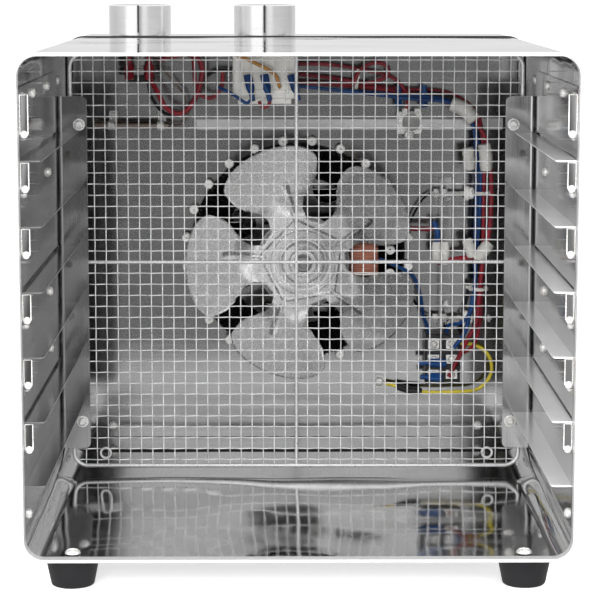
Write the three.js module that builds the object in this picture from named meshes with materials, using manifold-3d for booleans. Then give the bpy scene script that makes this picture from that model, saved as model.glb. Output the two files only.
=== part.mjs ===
// Cabinet food dehydrator without its door and trays: a wrapped steel cabinet with tray racks,
// and behind a wire guard the fan, its motor, the heater ring, the controls and their wiring.
// Units are millimetres. +X is right, +Y is towards the back and +Z is up. The origin is on the
// standing surface, under the middle of the cabinet.

import * as THREE from 'three';
import { mergeVertices } from 'three/addons/utils/BufferGeometryUtils.js';
import Module from 'manifold-3d';

const wasm = await Module();
wasm.setup();

// ---------------------------------------------------------------- driving dimensions

const CABINET_WIDTH = 340;
const CABINET_DEPTH = 435;
const CABINET_HEIGHT = 311;
const CORNER_RADIUS = 14;
const SHEET = 1;
const FIT_GAP = 0.3;

const FOOT_HEIGHT = 17.7;
const FOOT_TOP_RADIUS = 17;
const FOOT_BOTTOM_RADIUS = 13.5;
const FOOT_EDGE_RADIUS = 2;
const FOOT_INSET_X = 30;
const FOOT_INSET_Y = 20;
const FOOT_BORE = { radius: 2.4, bottom: 6 };
const FOOT_SCREW = { tip: 7, radius: 2, headRadius: 5, headHeight: 3 };

const FRONT = -CABINET_DEPTH / 2;
const REAR = CABINET_DEPTH / 2;
const FLOOR_UNDERSIDE = FOOT_HEIGHT + FIT_GAP;
const FLOOR = FLOOR_UNDERSIDE + SHEET;
const TOP = FLOOR_UNDERSIDE + CABINET_HEIGHT;
const CEILING = TOP - SHEET;
const HALF_WIDTH = CABINET_WIDTH / 2;
const INNER_HALF_WIDTH = HALF_WIDTH - SHEET;

const HEM_DEPTH = 9;
const HEM_THICKNESS = 2.2;
const SEAM_DEPTH = 336;
const GASKET_WIDTH = 2;
const GASKET_PROUD = 0.7;
const CASE_REAR = FRONT + SEAM_DEPTH;
const COVER_FRONT = CASE_REAR + GASKET_WIDTH + 2 * FIT_GAP;
const INLET_FLANGE = 1.2;
const SPINDLE_HOLE_RADIUS = 5;
const VENT = { columns: 3, columnPitch: 76, rows: 9, rowPitch: 13, length: 60, height: 4 };
const COVER_REAR = REAR - INLET_FLANGE - FIT_GAP;
const BACK_PANEL_FRONT = COVER_REAR - 45.5;
const BACK_PANEL_RIM = 11;
const BACK_PANEL_INSET = 1.5;
const BOLT_HOLE_RADIUS = 2.3;
const INTAKE = { count: 8, ringRadius: 50, radius: 11 };
const LEDGE = { left: -75, right: 157, depth: 12, bottom: 258, top: 267 };

const TRAY_LEVELS = 6;
const TRAY_PITCH = 40;
const LOWEST_SHELF_TOP = 64;
const SHELF_WIDTH = 12.7;
const SHELF_CHAMFER = 3;
const RACK_FRONT = FRONT + HEM_DEPTH + 1.5;
const RACK_REAR = 37;
const RACK_BOTTOM = 38;
const RACK_TOP = 308;
const FLANGE_TOP = 290;
const FLANGE_INNER_X = 147.5;
const FLANGE_CORNER = 4;
const RACK_BEND = 4;
const TAB_WIDTH = 5.5;
const TAB_HEIGHT = 19;
const TOP_TAB_BOTTOM = 277;

const GUARD_HALF_WIDTH = 161;
const GUARD_BOTTOM = 23;
const GUARD_TOP = 321;
const GUARD_FRAME = 3;
const GUARD_CORNER = 11;
const GUARD_WIRE = 1.4;
const GUARD_MIDDLE_ROD = 2.6;
const GUARD_GRID = 40;
const GUARD_GRID_REACH = 3;
const GUARD_SCREW_X = 153;
const GUARD_SCREW = { radius: 1.5, hole: 1.8, headRadius: 3.5, nutRadius: 3.8, thickness: 2.4 };
const GUARD_SCREW_HEIGHTS = { lower: 57.5, upper: 270 };
const GUARD_MIDDLE_Y = RACK_REAR + 3;

const FAN_X = 5;
const FAN_Z = 166;
const FAN_RADIUS = 85.5;
const FAN_DISC_Y = 86;
const FAN_DISC_RADIUS = 33;
const BLADES = 5;
const BLADE_PITCH = 0.45;
const BLADE_THICKNESS = 1.2;
const FIRST_BLADE_ANGLE = THREE.MathUtils.degToRad(38);
const RIB_LAG = THREE.MathUtils.degToRad(6);
const RIB_REACH = 60;
const RIB_ROOT = 12;
const RIB_WIDTH = 4;
const BLADE = { root: 22, widest: 64, rootHalfWidth: 11, halfWidth: 35 };
const BOSS = { radius: 9, front: FAN_DISC_Y - 5.6, rear: FAN_DISC_Y + 11 };
const HUB_NUT = { radius: 6.2, thickness: 6 };

const SHAFT_RADIUS = 3;
const SHAFT_GAP = 0.15;
const STATOR_FRONT = 114;
const STATOR_REAR = 132;
const STATOR_BORE = 15.5;
const STATOR = { left: -24, right: 57, halfHeight: 25 };
const STATOR_WINDOW = { left: 24, right: 44, halfHeight: 13 };
const WINDING = { left: 39.5, right: 61.5, corner: 4, halfHeight: 12.7 };
const STRAP = { halfWidth: 7, halfLength: 25, footHalfHeight: 4.5, bossRadius: 9.5 };
const MOTOR_BOLT_OFFSET = 20.5;
const MOTOR_BOLT = { radius: 1.9, hole: 2.2, headRadius: 3.6, headHeight: 3 };
const BEARING_RADIUS = 6.5;
const BEARING_LENGTH = 7;

const HEATER_X = 1.5;
const HEATER_Z = 165;
const HEATER_RADIUS = 85;
const HEATER_BEADS = 24;
const HEATER_COIL_RADIUS = 70;
const HEATER_COIL_TUBE = 11;
const HEATER_COIL_Y = 150;
const HEATER_FRAME_Y = 162.8;
const BEAD_RADIUS = 3.6;
const HEATER_FRAME_HALF_WIDTH = 6;
const BEAD_LENGTH = 8;
const HEATER_BRACKET = { left: 109, right: 120, thickness: 1.5, depth: 20, bottom: 106, top: 223 };
const STUD_HEIGHTS = { lower: 114, upper: 210 };
const STUD_Y = 158;
const STUD = { left: 103.5, right: 150, radius: 1.5 };
const STUD_NUT = { radius: 3.6, places: [[104.7, 108.7], [110.8, 114.3]] };
const INSULATOR = { left: 128.5, right: 135, halfWidth: 4.5, halfHeight: 6, corner: 1.5 };

const KNOB_RADIUS = 23;
const KNOB_HEIGHT = 23;
const KNOB_Y = 146;
const TIMER_X = -23;
const THERMOSTAT_X = -116;
const KNOB_BOTTOM = TOP + FIT_GAP;
const KNOB_EDGE = 0.8;
const POINTER = { halfWidth: 0.6, depth: 0.6, bottom: 3 };
const SPINDLE_TOP = KNOB_BOTTOM + 16;
const SPINDLE_BOTTOM = CEILING - 11;
const TIMER = { halfWidth: 24, halfDepth: 21, corner: 3, bottom: 283, gearInset: 4, gearDrop: 4 };
const THERMOSTAT = { radius: 17, bottom: 300, terminals: { halfWidth: 9, halfDepth: 10, drop: 6 } };
const BULB = { radius: 3, left: -152, right: -92, y: 150, z: 262, capillaryRadius: 0.9 };
const CUTOUT = { x: 87, z: 264, radius: 7.5, depth: 8.3, stand: 12.3 };
const CUTOUT_TERMINALS = { halfWidth: 7, height: 10.5 };

const INLET_X = 112;
const INLET_Z = 58;
const INLET_PLATE = { halfWidth: 25, halfHeight: 12, corner: 4 };
const INLET_SHELL = { halfWidth: 13.6, halfHeight: 10.1 };
const INLET_RECESS = { halfWidth: 11.5, halfHeight: 8, depth: 20 };
const INLET_PINS = [[-7, -2], [0, 2], [7, -2]];
const EARTH_POINT = { x: 64.5, z: 63 };
const EARTH_SCREW = { radius: 1.9, headRadius: 3.8, headHeight: 2.4, reach: 7 };
const BLOCK = { left: 99, right: 126, bottom: 64, top: 102, front: 150, ridges: 4, ridgePitch: 11.7 };
const WIRE_RADIUS = 1.4;
const WIRE_SIDES = 6;

const SMALL_ROUND = { upTo: 5, sides: 10 };
const ROUND_SIDES = 18;
const ARC_STEPS = 3;
const MERGE_TOLERANCE = 1e-4;

// ---------------------------------------------------------------- materials

function finish(color, roughness, metalness) {
  return new THREE.MeshStandardMaterial({ color, roughness, metalness });
}

const STEEL = finish(0xb9babc, 0.25, 1);
const BRIGHT_STEEL = finish(0xd4d5d7, 0.15, 1);
const BRUSHED_KNOB = finish(0xc9cacc, 0.22, 1);
const ALUMINIUM = finish(0xa9abae, 0.45, 1);
const LAMINATION = finish(0x55565a, 0.5, 0.9);
const OXIDISED_COIL = finish(0x17171a, 0.55, 0.8);
const CERAMIC = finish(0xf0eee8, 0.4, 0);
const RUBBER = finish(0x151516, 0.7, 0);
const WHITE_PLASTIC = finish(0xe6e4dc, 0.45, 0);
const BLACK_PLASTIC = finish(0x18181a, 0.4, 0);
const COPPER_WINDING = finish(0x8a4a35, 0.45, 0.4);
const WIRE_COLOURS = {
  red: finish(0xa3202c, 0.45, 0),
  blue: finish(0x1f4f96, 0.45, 0),
  black: finish(0x1a1a1c, 0.45, 0),
  orange: finish(0xc2571f, 0.45, 0),
  yellow: finish(0xd6c820, 0.45, 0),
};

// ---------------------------------------------------------------- solids

function solidFrom(geometry) {
  geometry.deleteAttribute('normal');
  geometry.deleteAttribute('uv');
  const merged = mergeVertices(geometry, MERGE_TOLERANCE);
  const index = merged.index.array;
  const triangles = [];
  for (let i = 0; i < index.length; i += 3) {
    const [a, b, c] = [index[i], index[i + 1], index[i + 2]];
    if (a !== b && b !== c && c !== a) triangles.push(a, b, c);
  }
  const positions = merged.attributes.position.array;
  if (signedVolume(positions, triangles) < 0) triangles.reverse();
  const vertProperties = Float32Array.from(positions);
  const triVerts = Uint32Array.from(triangles);
  return new wasm.Manifold(new wasm.Mesh({ numProp: 3, vertProperties, triVerts }));
}

function signedVolume(positions, triangles) {
  const corners = [new THREE.Vector3(), new THREE.Vector3(), new THREE.Vector3()];
  let volume = 0;
  for (let i = 0; i < triangles.length; i += 3) {
    corners.forEach((corner, k) => corner.fromArray(positions, 3 * triangles[i + k]));
    volume += corners[0].dot(corners[1].cross(corners[2])) / 6;
  }
  return volume;
}

function geometryOf(solid) {
  const mesh = solid.getMesh();
  const geometry = new THREE.BufferGeometry();
  geometry.setAttribute('position', new THREE.BufferAttribute(mesh.vertProperties, 3));
  geometry.setIndex(new THREE.BufferAttribute(mesh.triVerts, 1));
  return geometry;
}

function join(...solids) {
  return solids.reduce((whole, next) => whole.add(next));
}

function cut(body, ...tools) {
  return tools.reduce((left, tool) => left.subtract(tool), body);
}

function mirroredAcrossX(solid) {
  const geometry = geometryOf(solid);
  geometry.scale(-1, 1, 1);
  return solidFrom(geometry);
}

// Turns a shape's plane to face an axis: its first and second directions become X and Y for
// axis z, X and Z for axis y, and Y and Z for axis x.
function facing(axis) {
  const [x, y, z] = [[1, 0, 0], [0, 1, 0], [0, 0, 1]].map((v) => new THREE.Vector3(...v));
  const bases = { z: [x, y, z], y: [x, z, y.clone().negate()], x: [y, z, x] };
  return new THREE.Matrix4().makeBasis(...bases[axis]);
}

function prism(shape, axis, from, to, arcSteps = ARC_STEPS) {
  const options = { depth: to - from, bevelEnabled: false, curveSegments: arcSteps };
  const geometry = new THREE.ExtrudeGeometry(shape, options);
  geometry.applyMatrix4(facing(axis));
  const start = axis === 'y' ? to : from;
  const move = { x: [start, 0, 0], y: [0, start, 0], z: [0, 0, start] }[axis];
  geometry.translate(...move);
  return solidFrom(geometry);
}

function block(x0, x1, y0, y1, z0, z1) {
  const geometry = new THREE.BoxGeometry(x1 - x0, y1 - y0, z1 - z0);
  geometry.translate((x0 + x1) / 2, (y0 + y1) / 2, (z0 + z1) / 2);
  return solidFrom(geometry);
}

function circle(u, v, radius) {
  return new THREE.Shape().absarc(u, v, radius, 0, 2 * Math.PI);
}

function rod(axis, u, v, radius, from, to) {
  const sides = radius <= SMALL_ROUND.upTo ? SMALL_ROUND.sides : ROUND_SIDES;
  return prism(circle(u, v, radius), axis, from, to, sides / 2);
}

function roundedRectangle(x0, x1, y0, y1, radius) {
  const shape = new THREE.Shape();
  shape.absarc(x1 - radius, y0 + radius, radius, -Math.PI / 2, 0);
  shape.absarc(x1 - radius, y1 - radius, radius, 0, Math.PI / 2);
  shape.absarc(x0 + radius, y1 - radius, radius, Math.PI / 2, Math.PI);
  shape.absarc(x0 + radius, y0 + radius, radius, Math.PI, 1.5 * Math.PI);
  return shape;
}

// A solid of revolution about Z or Y from (radius, height) points, moved to a place.
function turned(points, axis, place, segments = SMALL_ROUND.sides) {
  const profile = points.map(([radius, height]) => new THREE.Vector2(radius, height));
  const geometry = new THREE.LatheGeometry(profile, segments);
  if (axis === 'z') geometry.rotateX(Math.PI / 2);
  geometry.translate(...place);
  return solidFrom(geometry);
}

function cabinetOutline(inset) {
  const x = HALF_WIDTH - inset;
  const radius = CORNER_RADIUS - inset;
  return roundedRectangle(-x, x, FLOOR_UNDERSIDE + inset, TOP - inset, radius);
}

// A band that follows the cabinet's outline, from one inset to a deeper one.
function cabinetBand(outerInset, innerInset, from, to) {
  const outer = prism(cabinetOutline(outerInset), 'y', from, to);
  return outer.subtract(prism(cabinetOutline(innerInset), 'y', from - 1, to + 1));
}

const footPlaces = [];
for (const [depthName, y] of [['front', FRONT + FOOT_INSET_Y], ['rear', REAR - FOOT_INSET_Y]]) {
  for (const [sideName, side] of [['left', -1], ['right', 1]]) {
    const x = side * (HALF_WIDTH - FOOT_INSET_X);
    footPlaces.push({ name: `${depthName}_${sideName}`, x, y });
  }
}

function footScrewHoles(from, to) {
  const places = footPlaces.filter(({ y }) => y > from && y < to);
  return places.map(({ x, y }) => rod('z', x, y, FOOT_BORE.radius, FLOOR_UNDERSIDE - 1, FLOOR + 1));
}

// ---------------------------------------------------------------- cabinet

function outerCase() {
  const wrap = cabinetBand(0, SHEET, FRONT, CASE_REAR);
  const hem = cabinetBand(SHEET / 2, HEM_THICKNESS, FRONT, FRONT + HEM_DEPTH);
  return cut(join(wrap, hem), ...footScrewHoles(FRONT, CASE_REAR));
}

function caseGasket() {
  return cabinetBand(-GASKET_PROUD, 2 * SHEET, CASE_REAR + FIT_GAP, COVER_FRONT - FIT_GAP);
}

function ventSlots() {
  const slots = [];
  for (let column = 0; column < VENT.columns; column += 1) {
    for (let row = 0; row < VENT.rows; row += 1) {
      const x = FAN_X + VENT.columnPitch * (column - (VENT.columns - 1) / 2) - VENT.length / 2;
      const z = FAN_Z + VENT.rowPitch * (row - (VENT.rows - 1) / 2) - VENT.height / 2;
      slots.push(block(x, x + VENT.length, COVER_REAR - 2 * SHEET, COVER_REAR + 1, z, z + VENT.height));
    }
  }
  return slots;
}

function rearCover() {
  const outside = prism(cabinetOutline(0), 'y', COVER_FRONT, COVER_REAR);
  const inside = prism(cabinetOutline(SHEET), 'y', COVER_FRONT - 1, COVER_REAR - SHEET);
  const spindleHoles = [TIMER_X, THERMOSTAT_X].map((x) => {
    return rod('z', x, KNOB_Y, SPINDLE_HOLE_RADIUS, CEILING - 1, TOP + 1);
  });
  const [halfWidth, halfHeight] = [INLET_SHELL.halfWidth + 0.4, INLET_SHELL.halfHeight + 0.4];
  const [left, bottom] = [INLET_X - halfWidth, INLET_Z - halfHeight];
  const inletHole = block(
    left, left + 2 * halfWidth, COVER_REAR - 3, REAR, bottom, bottom + 2 * halfHeight,
  );
  const footHoles = footScrewHoles(COVER_FRONT, REAR);
  return cut(outside, inside, ...spindleHoles, inletHole, ...ventSlots(), ...footHoles);
}

function innerBackPanel() {
  const front = BACK_PANEL_FRONT;
  const inset = BACK_PANEL_INSET;
  const plate = prism(cabinetOutline(inset), 'y', front, front + SHEET);
  const rim = cabinetBand(inset, inset + SHEET, front + SHEET / 2, front + BACK_PANEL_RIM);
  const through = (x, z, radius) => rod('y', x, z, radius, front - 1, front + 2);
  const boltHoles = [-1, 1].map((side) => through(FAN_X, FAN_Z + side * MOTOR_BOLT_OFFSET, BOLT_HOLE_RADIUS));
  const earthHole = through(EARTH_POINT.x, EARTH_POINT.z, BOLT_HOLE_RADIUS);
  const intakes = [];
  for (let i = 0; i < INTAKE.count; i += 1) {
    const angle = ((i + 0.5) * 2 * Math.PI) / INTAKE.count;
    const x = FAN_X + INTAKE.ringRadius * Math.cos(angle);
    const z = FAN_Z + INTAKE.ringRadius * Math.sin(angle);
    intakes.push(through(x, z, INTAKE.radius));
  }
  return cut(join(plate, rim), ...boltHoles, earthHole, ...intakes);
}

function controlLedge() {
  const rear = BACK_PANEL_FRONT - FIT_GAP;
  const { left, right, depth, bottom, top } = LEDGE;
  const shelf = block(left, right, rear - depth, rear, top - SHEET, top);
  const lip = block(left, right, rear - depth, rear - depth + SHEET, bottom, top - SHEET / 2);
  return join(shelf, lip);
}

function foot({ x, y }) {
  const profile = [[0, 0]];
  for (let i = 0; i <= 3; i += 1) {
    const angle = -Math.PI / 2 + (i * Math.PI) / 6;
    const radius = FOOT_BOTTOM_RADIUS - FOOT_EDGE_RADIUS * (1 - Math.cos(angle));
    profile.push([radius, FOOT_EDGE_RADIUS * (1 + Math.sin(angle))]);
  }
  profile.push([FOOT_TOP_RADIUS, FOOT_HEIGHT], [FOOT_BORE.radius, FOOT_HEIGHT]);
  profile.push([FOOT_BORE.radius, FOOT_BORE.bottom], [0, FOOT_BORE.bottom]);
  return turned(profile, 'z', [x, y, 0], ROUND_SIDES);
}

function footScrew({ x, y }) {
  const head = FLOOR + FIT_GAP;
  const { tip, radius, headRadius, headHeight } = FOOT_SCREW;
  const profile = [
    [0, tip], [radius, tip], [radius, head], [headRadius, head],
    [0.88 * headRadius, head + 0.53 * headHeight], [0.52 * headRadius, head + 0.87 * headHeight],
    [0, head + headHeight],
  ];
  return turned(profile, 'z', [x, y, 0]);
}

// ---------------------------------------------------------------- tray racks

function rackShelf(level) {
  const outer = INNER_HALF_WIDTH - FIT_GAP - SHEET / 2;
  const inner = outer + SHEET / 2 - SHEET - SHELF_WIDTH;
  const rear = RACK_REAR - SHEET / 2;
  const top = LOWEST_SHELF_TOP + level * TRAY_PITCH;
  const outline = new THREE.Shape();
  outline.moveTo(outer, RACK_FRONT);
  outline.lineTo(outer, rear);
  outline.lineTo(inner, rear);
  outline.lineTo(inner, RACK_FRONT + SHELF_CHAMFER);
  outline.lineTo(inner + SHELF_CHAMFER, RACK_FRONT);
  return prism(outline, 'z', top - SHEET, top);
}

function rackTab(bottom, top) {
  const outer = INNER_HALF_WIDTH - FIT_GAP - SHEET / 2;
  const inner = outer + SHEET / 2 - SHEET - TAB_WIDTH;
  const outline = new THREE.Shape();
  outline.moveTo(outer, top);
  outline.lineTo(inner, top);
  outline.absarc(inner + TAB_WIDTH / 2, bottom + TAB_WIDTH / 2, TAB_WIDTH / 2, Math.PI, 1.5 * Math.PI);
  outline.lineTo(outer, bottom);
  return prism(outline, 'y', RACK_FRONT, RACK_FRONT + SHEET);
}

// The side panel and the rear flange, bent from one sheet.
function rackSheet() {
  const outer = INNER_HALF_WIDTH - FIT_GAP;
  const inner = outer - SHEET;
  const bend = RACK_BEND;
  const outline = new THREE.Shape();
  outline.moveTo(outer, RACK_FRONT);
  outline.absarc(outer - bend, RACK_REAR - bend, bend, 0, Math.PI / 2);
  outline.lineTo(FLANGE_INNER_X, RACK_REAR);
  outline.lineTo(FLANGE_INNER_X, RACK_REAR - SHEET);
  outline.absarc(outer - bend, RACK_REAR - bend, bend - SHEET, Math.PI / 2, 0, true);
  outline.lineTo(inner, RACK_FRONT);
  const sheet = prism(outline, 'z', RACK_BOTTOM, FLANGE_TOP);
  const roundedEnds = roundedRectangle(FLANGE_INNER_X, 2 * outer, RACK_BOTTOM, FLANGE_TOP, FLANGE_CORNER);
  const upperPanel = block(inner, outer, RACK_FRONT, RACK_REAR - 2 * bend, FLANGE_TOP - 1, RACK_TOP);
  return join(sheet.intersect(prism(roundedEnds, 'y', 2 * FRONT, REAR)), upperPanel);
}

function rightRack() {
  const pieces = [rackSheet(), rackTab(TOP_TAB_BOTTOM, RACK_TOP - 4)];
  for (let level = 0; level < TRAY_LEVELS; level += 1) {
    const underside = LOWEST_SHELF_TOP + level * TRAY_PITCH - SHEET / 2;
    pieces.push(rackShelf(level));
    if (level > 0) pieces.push(rackTab(underside - TAB_HEIGHT, underside));
  }
  const holes = Object.values(GUARD_SCREW_HEIGHTS).map((z) => {
    return rod('y', GUARD_SCREW_X, z, GUARD_SCREW.hole, RACK_REAR - 3, RACK_REAR + 1);
  });
  return cut(join(...pieces), ...holes);
}

// ---------------------------------------------------------------- fan guard

function fanGuard() {
  const y0 = GUARD_MIDDLE_Y - GUARD_FRAME / 2;
  const y1 = GUARD_MIDDLE_Y + GUARD_FRAME / 2;
  const ring = (inset) => {
    const x = GUARD_HALF_WIDTH - inset;
    return roundedRectangle(-x, x, GUARD_BOTTOM + inset, GUARD_TOP - inset, GUARD_CORNER - inset);
  };
  const opening = prism(ring(GUARD_FRAME), 'y', y0 - 1, y1 + 1);
  const pieces = [prism(ring(0), 'y', y0, y1).subtract(opening)];
  const middle = (GUARD_BOTTOM + GUARD_TOP) / 2;
  for (let i = -GUARD_GRID_REACH; i <= GUARD_GRID_REACH; i += 1) {
    const half = (i === 0 ? GUARD_MIDDLE_ROD : GUARD_WIRE) / 2;
    const [near, far] = [GUARD_MIDDLE_Y - half, GUARD_MIDDLE_Y + half];
    const x = i * GUARD_GRID;
    const z = middle + i * GUARD_GRID;
    const reach = GUARD_HALF_WIDTH - GUARD_FRAME / 2;
    pieces.push(block(x - half, x + half, near, far, GUARD_BOTTOM + 1.5, GUARD_TOP - 1.5));
    pieces.push(block(-reach, reach, near, far, z - half, z + half));
  }
  return join(...pieces);
}

// A pan-head screw through the rack flange with its nut behind the guard's wires.
function guardScrew(x, z) {
  const front = RACK_REAR - SHEET - FIT_GAP;
  const rear = GUARD_MIDDLE_Y + 2;
  const { radius, headRadius, nutRadius, thickness } = GUARD_SCREW;
  const profile = [
    [0, front - thickness], [0.69 * headRadius, front - 0.88 * thickness],
    [headRadius, front - 0.42 * thickness], [headRadius, front], [radius, front], [radius, rear],
    [nutRadius, rear], [nutRadius, rear + thickness], [0, rear + thickness],
  ];
  return turned(profile, 'y', [x, 0, z]);
}

// ---------------------------------------------------------------- fan and motor

// Turns a geometry made along +X about an axis along Y through a point.
function aboutAxis(geometry, angle, x, z) {
  geometry.rotateY(-angle);
  geometry.translate(x, 0, z);
  return solidFrom(geometry);
}

// A broad paddle, widest near its tip, pitched about its own radial line.
function fanBlade(angle) {
  const { root, widest, rootHalfWidth: rootWidth, halfWidth: width } = BLADE;
  const outline = new THREE.Shape();
  outline.moveTo(root, -rootWidth);
  outline.bezierCurveTo(root + 18, -rootWidth - 4, widest - 16, -width, widest, -width);
  outline.bezierCurveTo(widest + 14, -width, FAN_RADIUS, -width / 2, FAN_RADIUS, 0);
  outline.bezierCurveTo(FAN_RADIUS, width / 2, widest + 14, width, widest, width);
  outline.bezierCurveTo(widest - 16, width, root + 18, rootWidth + 4, root, rootWidth);
  const options = { depth: BLADE_THICKNESS, bevelEnabled: false, curveSegments: 6 };
  const geometry = new THREE.ExtrudeGeometry(outline, options);
  geometry.rotateX(Math.PI / 2 + BLADE_PITCH);
  geometry.translate(0, FAN_DISC_Y + BLADE_THICKNESS, 0);
  return aboutAxis(geometry, angle, FAN_X, FAN_Z);
}

function fanRib(angle) {
  const geometry = new THREE.BoxGeometry(RIB_REACH - RIB_ROOT, RIB_WIDTH, RIB_WIDTH);
  geometry.translate((RIB_REACH + RIB_ROOT) / 2, FAN_DISC_Y - RIB_WIDTH / 5, 0);
  return aboutAxis(geometry, angle, FAN_X, FAN_Z);
}

function fanImpeller() {
  const disc = rod('y', FAN_X, FAN_Z, FAN_DISC_RADIUS, FAN_DISC_Y, FAN_DISC_Y + 1.6);
  const boss = rod('y', FAN_X, FAN_Z, BOSS.radius, BOSS.front, BOSS.rear);
  const pieces = [disc, boss];
  for (let i = 0; i < BLADES; i += 1) {
    const angle = FIRST_BLADE_ANGLE + (i * 2 * Math.PI) / BLADES;
    pieces.push(fanBlade(angle), fanRib(angle - RIB_LAG));
  }
  const bore = rod('y', FAN_X, FAN_Z, SHAFT_RADIUS + SHAFT_GAP, FAN_DISC_Y - 20, FAN_DISC_Y + 20);
  return cut(join(...pieces), bore);
}

function hubNut() {
  const rear = BOSS.front - FIT_GAP;
  const hexagon = rod('y', FAN_X, FAN_Z, HUB_NUT.radius, rear - HUB_NUT.thickness, rear);
  const thread = rod('y', FAN_X, FAN_Z, SHAFT_RADIUS + SHAFT_GAP, rear - 4, rear + 1);
  return cut(hexagon, thread);
}

function motorShaft() {
  return rod('y', FAN_X, FAN_Z, SHAFT_RADIUS, FAN_DISC_Y - 9, STATOR_REAR + 15);
}

function motorRotor() {
  const body = rod('y', FAN_X, FAN_Z, STATOR_BORE - 0.6, STATOR_FRONT - 0.5, STATOR_REAR + 0.5);
  const bore = rod('y', FAN_X, FAN_Z, SHAFT_RADIUS + SHAFT_GAP, STATOR_FRONT - 2, STATOR_REAR + 2);
  return cut(body, bore);
}

function motorStator() {
  const { left, right, halfHeight } = STATOR;
  const hole = STATOR_WINDOW;
  const [before, behind] = [STATOR_FRONT - 1, STATOR_REAR + 1];
  const stack = block(left, right, STATOR_FRONT, STATOR_REAR, FAN_Z - halfHeight, FAN_Z + halfHeight);
  const bore = rod('y', FAN_X, FAN_Z, STATOR_BORE, before, behind);
  const window = block(
    hole.left, hole.right, before, behind, FAN_Z - hole.halfHeight, FAN_Z + hole.halfHeight,
  );
  const boltHoles = [-1, 1].map((side) => {
    return rod('y', FAN_X, FAN_Z + side * MOTOR_BOLT_OFFSET, MOTOR_BOLT.hole, before, behind);
  });
  return cut(stack, bore, window, ...boltHoles);
}

function motorWinding() {
  const { left, right, corner, halfHeight } = WINDING;
  const wound = roundedRectangle(left, right, STATOR_FRONT - 4.5, STATOR_REAR + 3, corner);
  const core = block(
    STATOR_WINDOW.right - FIT_GAP, STATOR.right + FIT_GAP, STATOR_FRONT - FIT_GAP, STATOR_REAR + FIT_GAP,
    FAN_Z - halfHeight - 1, FAN_Z + halfHeight + 1,
  );
  return cut(prism(wound, 'z', FAN_Z - halfHeight, FAN_Z + halfHeight), core);
}

// A strap across the stator that carries a bearing, on two feet that stand on the stack.
function motorBracket(strapFront, strapRear, footFront, footRear, bossFront) {
  const { halfWidth, halfLength, footHalfHeight, bossRadius } = STRAP;
  const [left, right] = [FAN_X - halfWidth, FAN_X + halfWidth];
  const strap = block(left, right, strapFront, strapRear, FAN_Z - halfLength, FAN_Z + halfLength);
  const feet = [-1, 1].map((side) => {
    const z = FAN_Z + side * MOTOR_BOLT_OFFSET;
    return block(left, right, footFront, footRear, z - footHalfHeight, z + footHalfHeight);
  });
  const boss = rod('y', FAN_X, FAN_Z, bossRadius, bossFront, bossFront + BEARING_LENGTH);
  const [before, behind] = [strapFront - 20, strapRear + 20];
  const holes = [-1, 1].map((side) => {
    return rod('y', FAN_X, FAN_Z + side * MOTOR_BOLT_OFFSET, MOTOR_BOLT.hole, before, behind);
  });
  const seat = rod('y', FAN_X, FAN_Z, BEARING_RADIUS + SHAFT_GAP, before, behind);
  return cut(join(strap, ...feet, boss), ...holes, seat);
}

function bearing(front) {
  const ring = rod('y', FAN_X, FAN_Z, BEARING_RADIUS, front, front + BEARING_LENGTH);
  return cut(ring, rod('y', FAN_X, FAN_Z, SHAFT_RADIUS + SHAFT_GAP, front - 1, front + 20));
}

// A long bolt through both brackets and the stator to its nut behind the back panel.
function motorBolt(side) {
  const head = STATOR_FRONT - 10.3;
  const nut = BACK_PANEL_FRONT + SHEET + FIT_GAP;
  const { radius, headRadius, headHeight } = MOTOR_BOLT;
  const profile = [
    [0, head - headHeight], [headRadius, head - headHeight], [headRadius, head], [radius, head],
    [radius, nut], [headRadius, nut], [headRadius, nut + headHeight], [0, nut + headHeight],
  ];
  return turned(profile, 'y', [FAN_X, 0, FAN_Z + side * MOTOR_BOLT_OFFSET]);
}

// ---------------------------------------------------------------- heater

function heaterFrame() {
  const front = HEATER_FRAME_Y;
  const ring = cut(
    rod('y', HEATER_X, HEATER_Z, HEATER_COIL_RADIUS + HEATER_FRAME_HALF_WIDTH, front, front + 1),
    rod('y', HEATER_X, HEATER_Z, HEATER_COIL_RADIUS - HEATER_FRAME_HALF_WIDTH, front - 1, front + 2),
  );
  const pieces = [ring];
  for (let i = 0; i < HEATER_BEADS; i += 1) {
    const angle = ((i + 0.5) * 2 * Math.PI) / HEATER_BEADS;
    const spoke = new THREE.BoxGeometry(HEATER_RADIUS - HEATER_COIL_RADIUS, 1, 2.4);
    spoke.translate((HEATER_RADIUS + HEATER_COIL_RADIUS) / 2, front + 0.5, 0);
    const bead = new THREE.CylinderGeometry(BEAD_RADIUS, BEAD_RADIUS, BEAD_LENGTH, 8);
    bead.translate(HEATER_RADIUS, front + 0.5 - BEAD_LENGTH / 2, 0);
    pieces.push(...[spoke, bead].map((shape) => aboutAxis(shape, angle, HEATER_X, HEATER_Z)));
  }
  return join(...pieces);
}

function heaterCoil() {
  const sides = 8;
  const profile = [];
  for (let i = 0; i <= sides; i += 1) {
    const angle = ((i % sides) * 2 * Math.PI) / sides;
    const radius = HEATER_COIL_RADIUS + HEATER_COIL_TUBE * Math.cos(angle);
    profile.push([radius, HEATER_COIL_Y + HEATER_COIL_TUBE * Math.sin(angle)]);
  }
  return turned(profile, 'y', [HEATER_X, 0, HEATER_Z], 28);
}

// An upright plate beside the heater that carries its two terminal studs.
function heaterBracket() {
  const rear = BACK_PANEL_FRONT - FIT_GAP;
  const { left, right, thickness, depth, bottom, top } = HEATER_BRACKET;
  const plate = block(left, left + thickness, rear - depth, rear, bottom, top);
  const flange = block(left + thickness / 2, right, rear - 1.2, rear, bottom, top);
  const holes = Object.values(STUD_HEIGHTS).map((z) => {
    return rod('x', STUD_Y, z, STUD.radius + 0.4, left - 4, left + 5);
  });
  return cut(join(plate, flange), ...holes);
}

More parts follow.
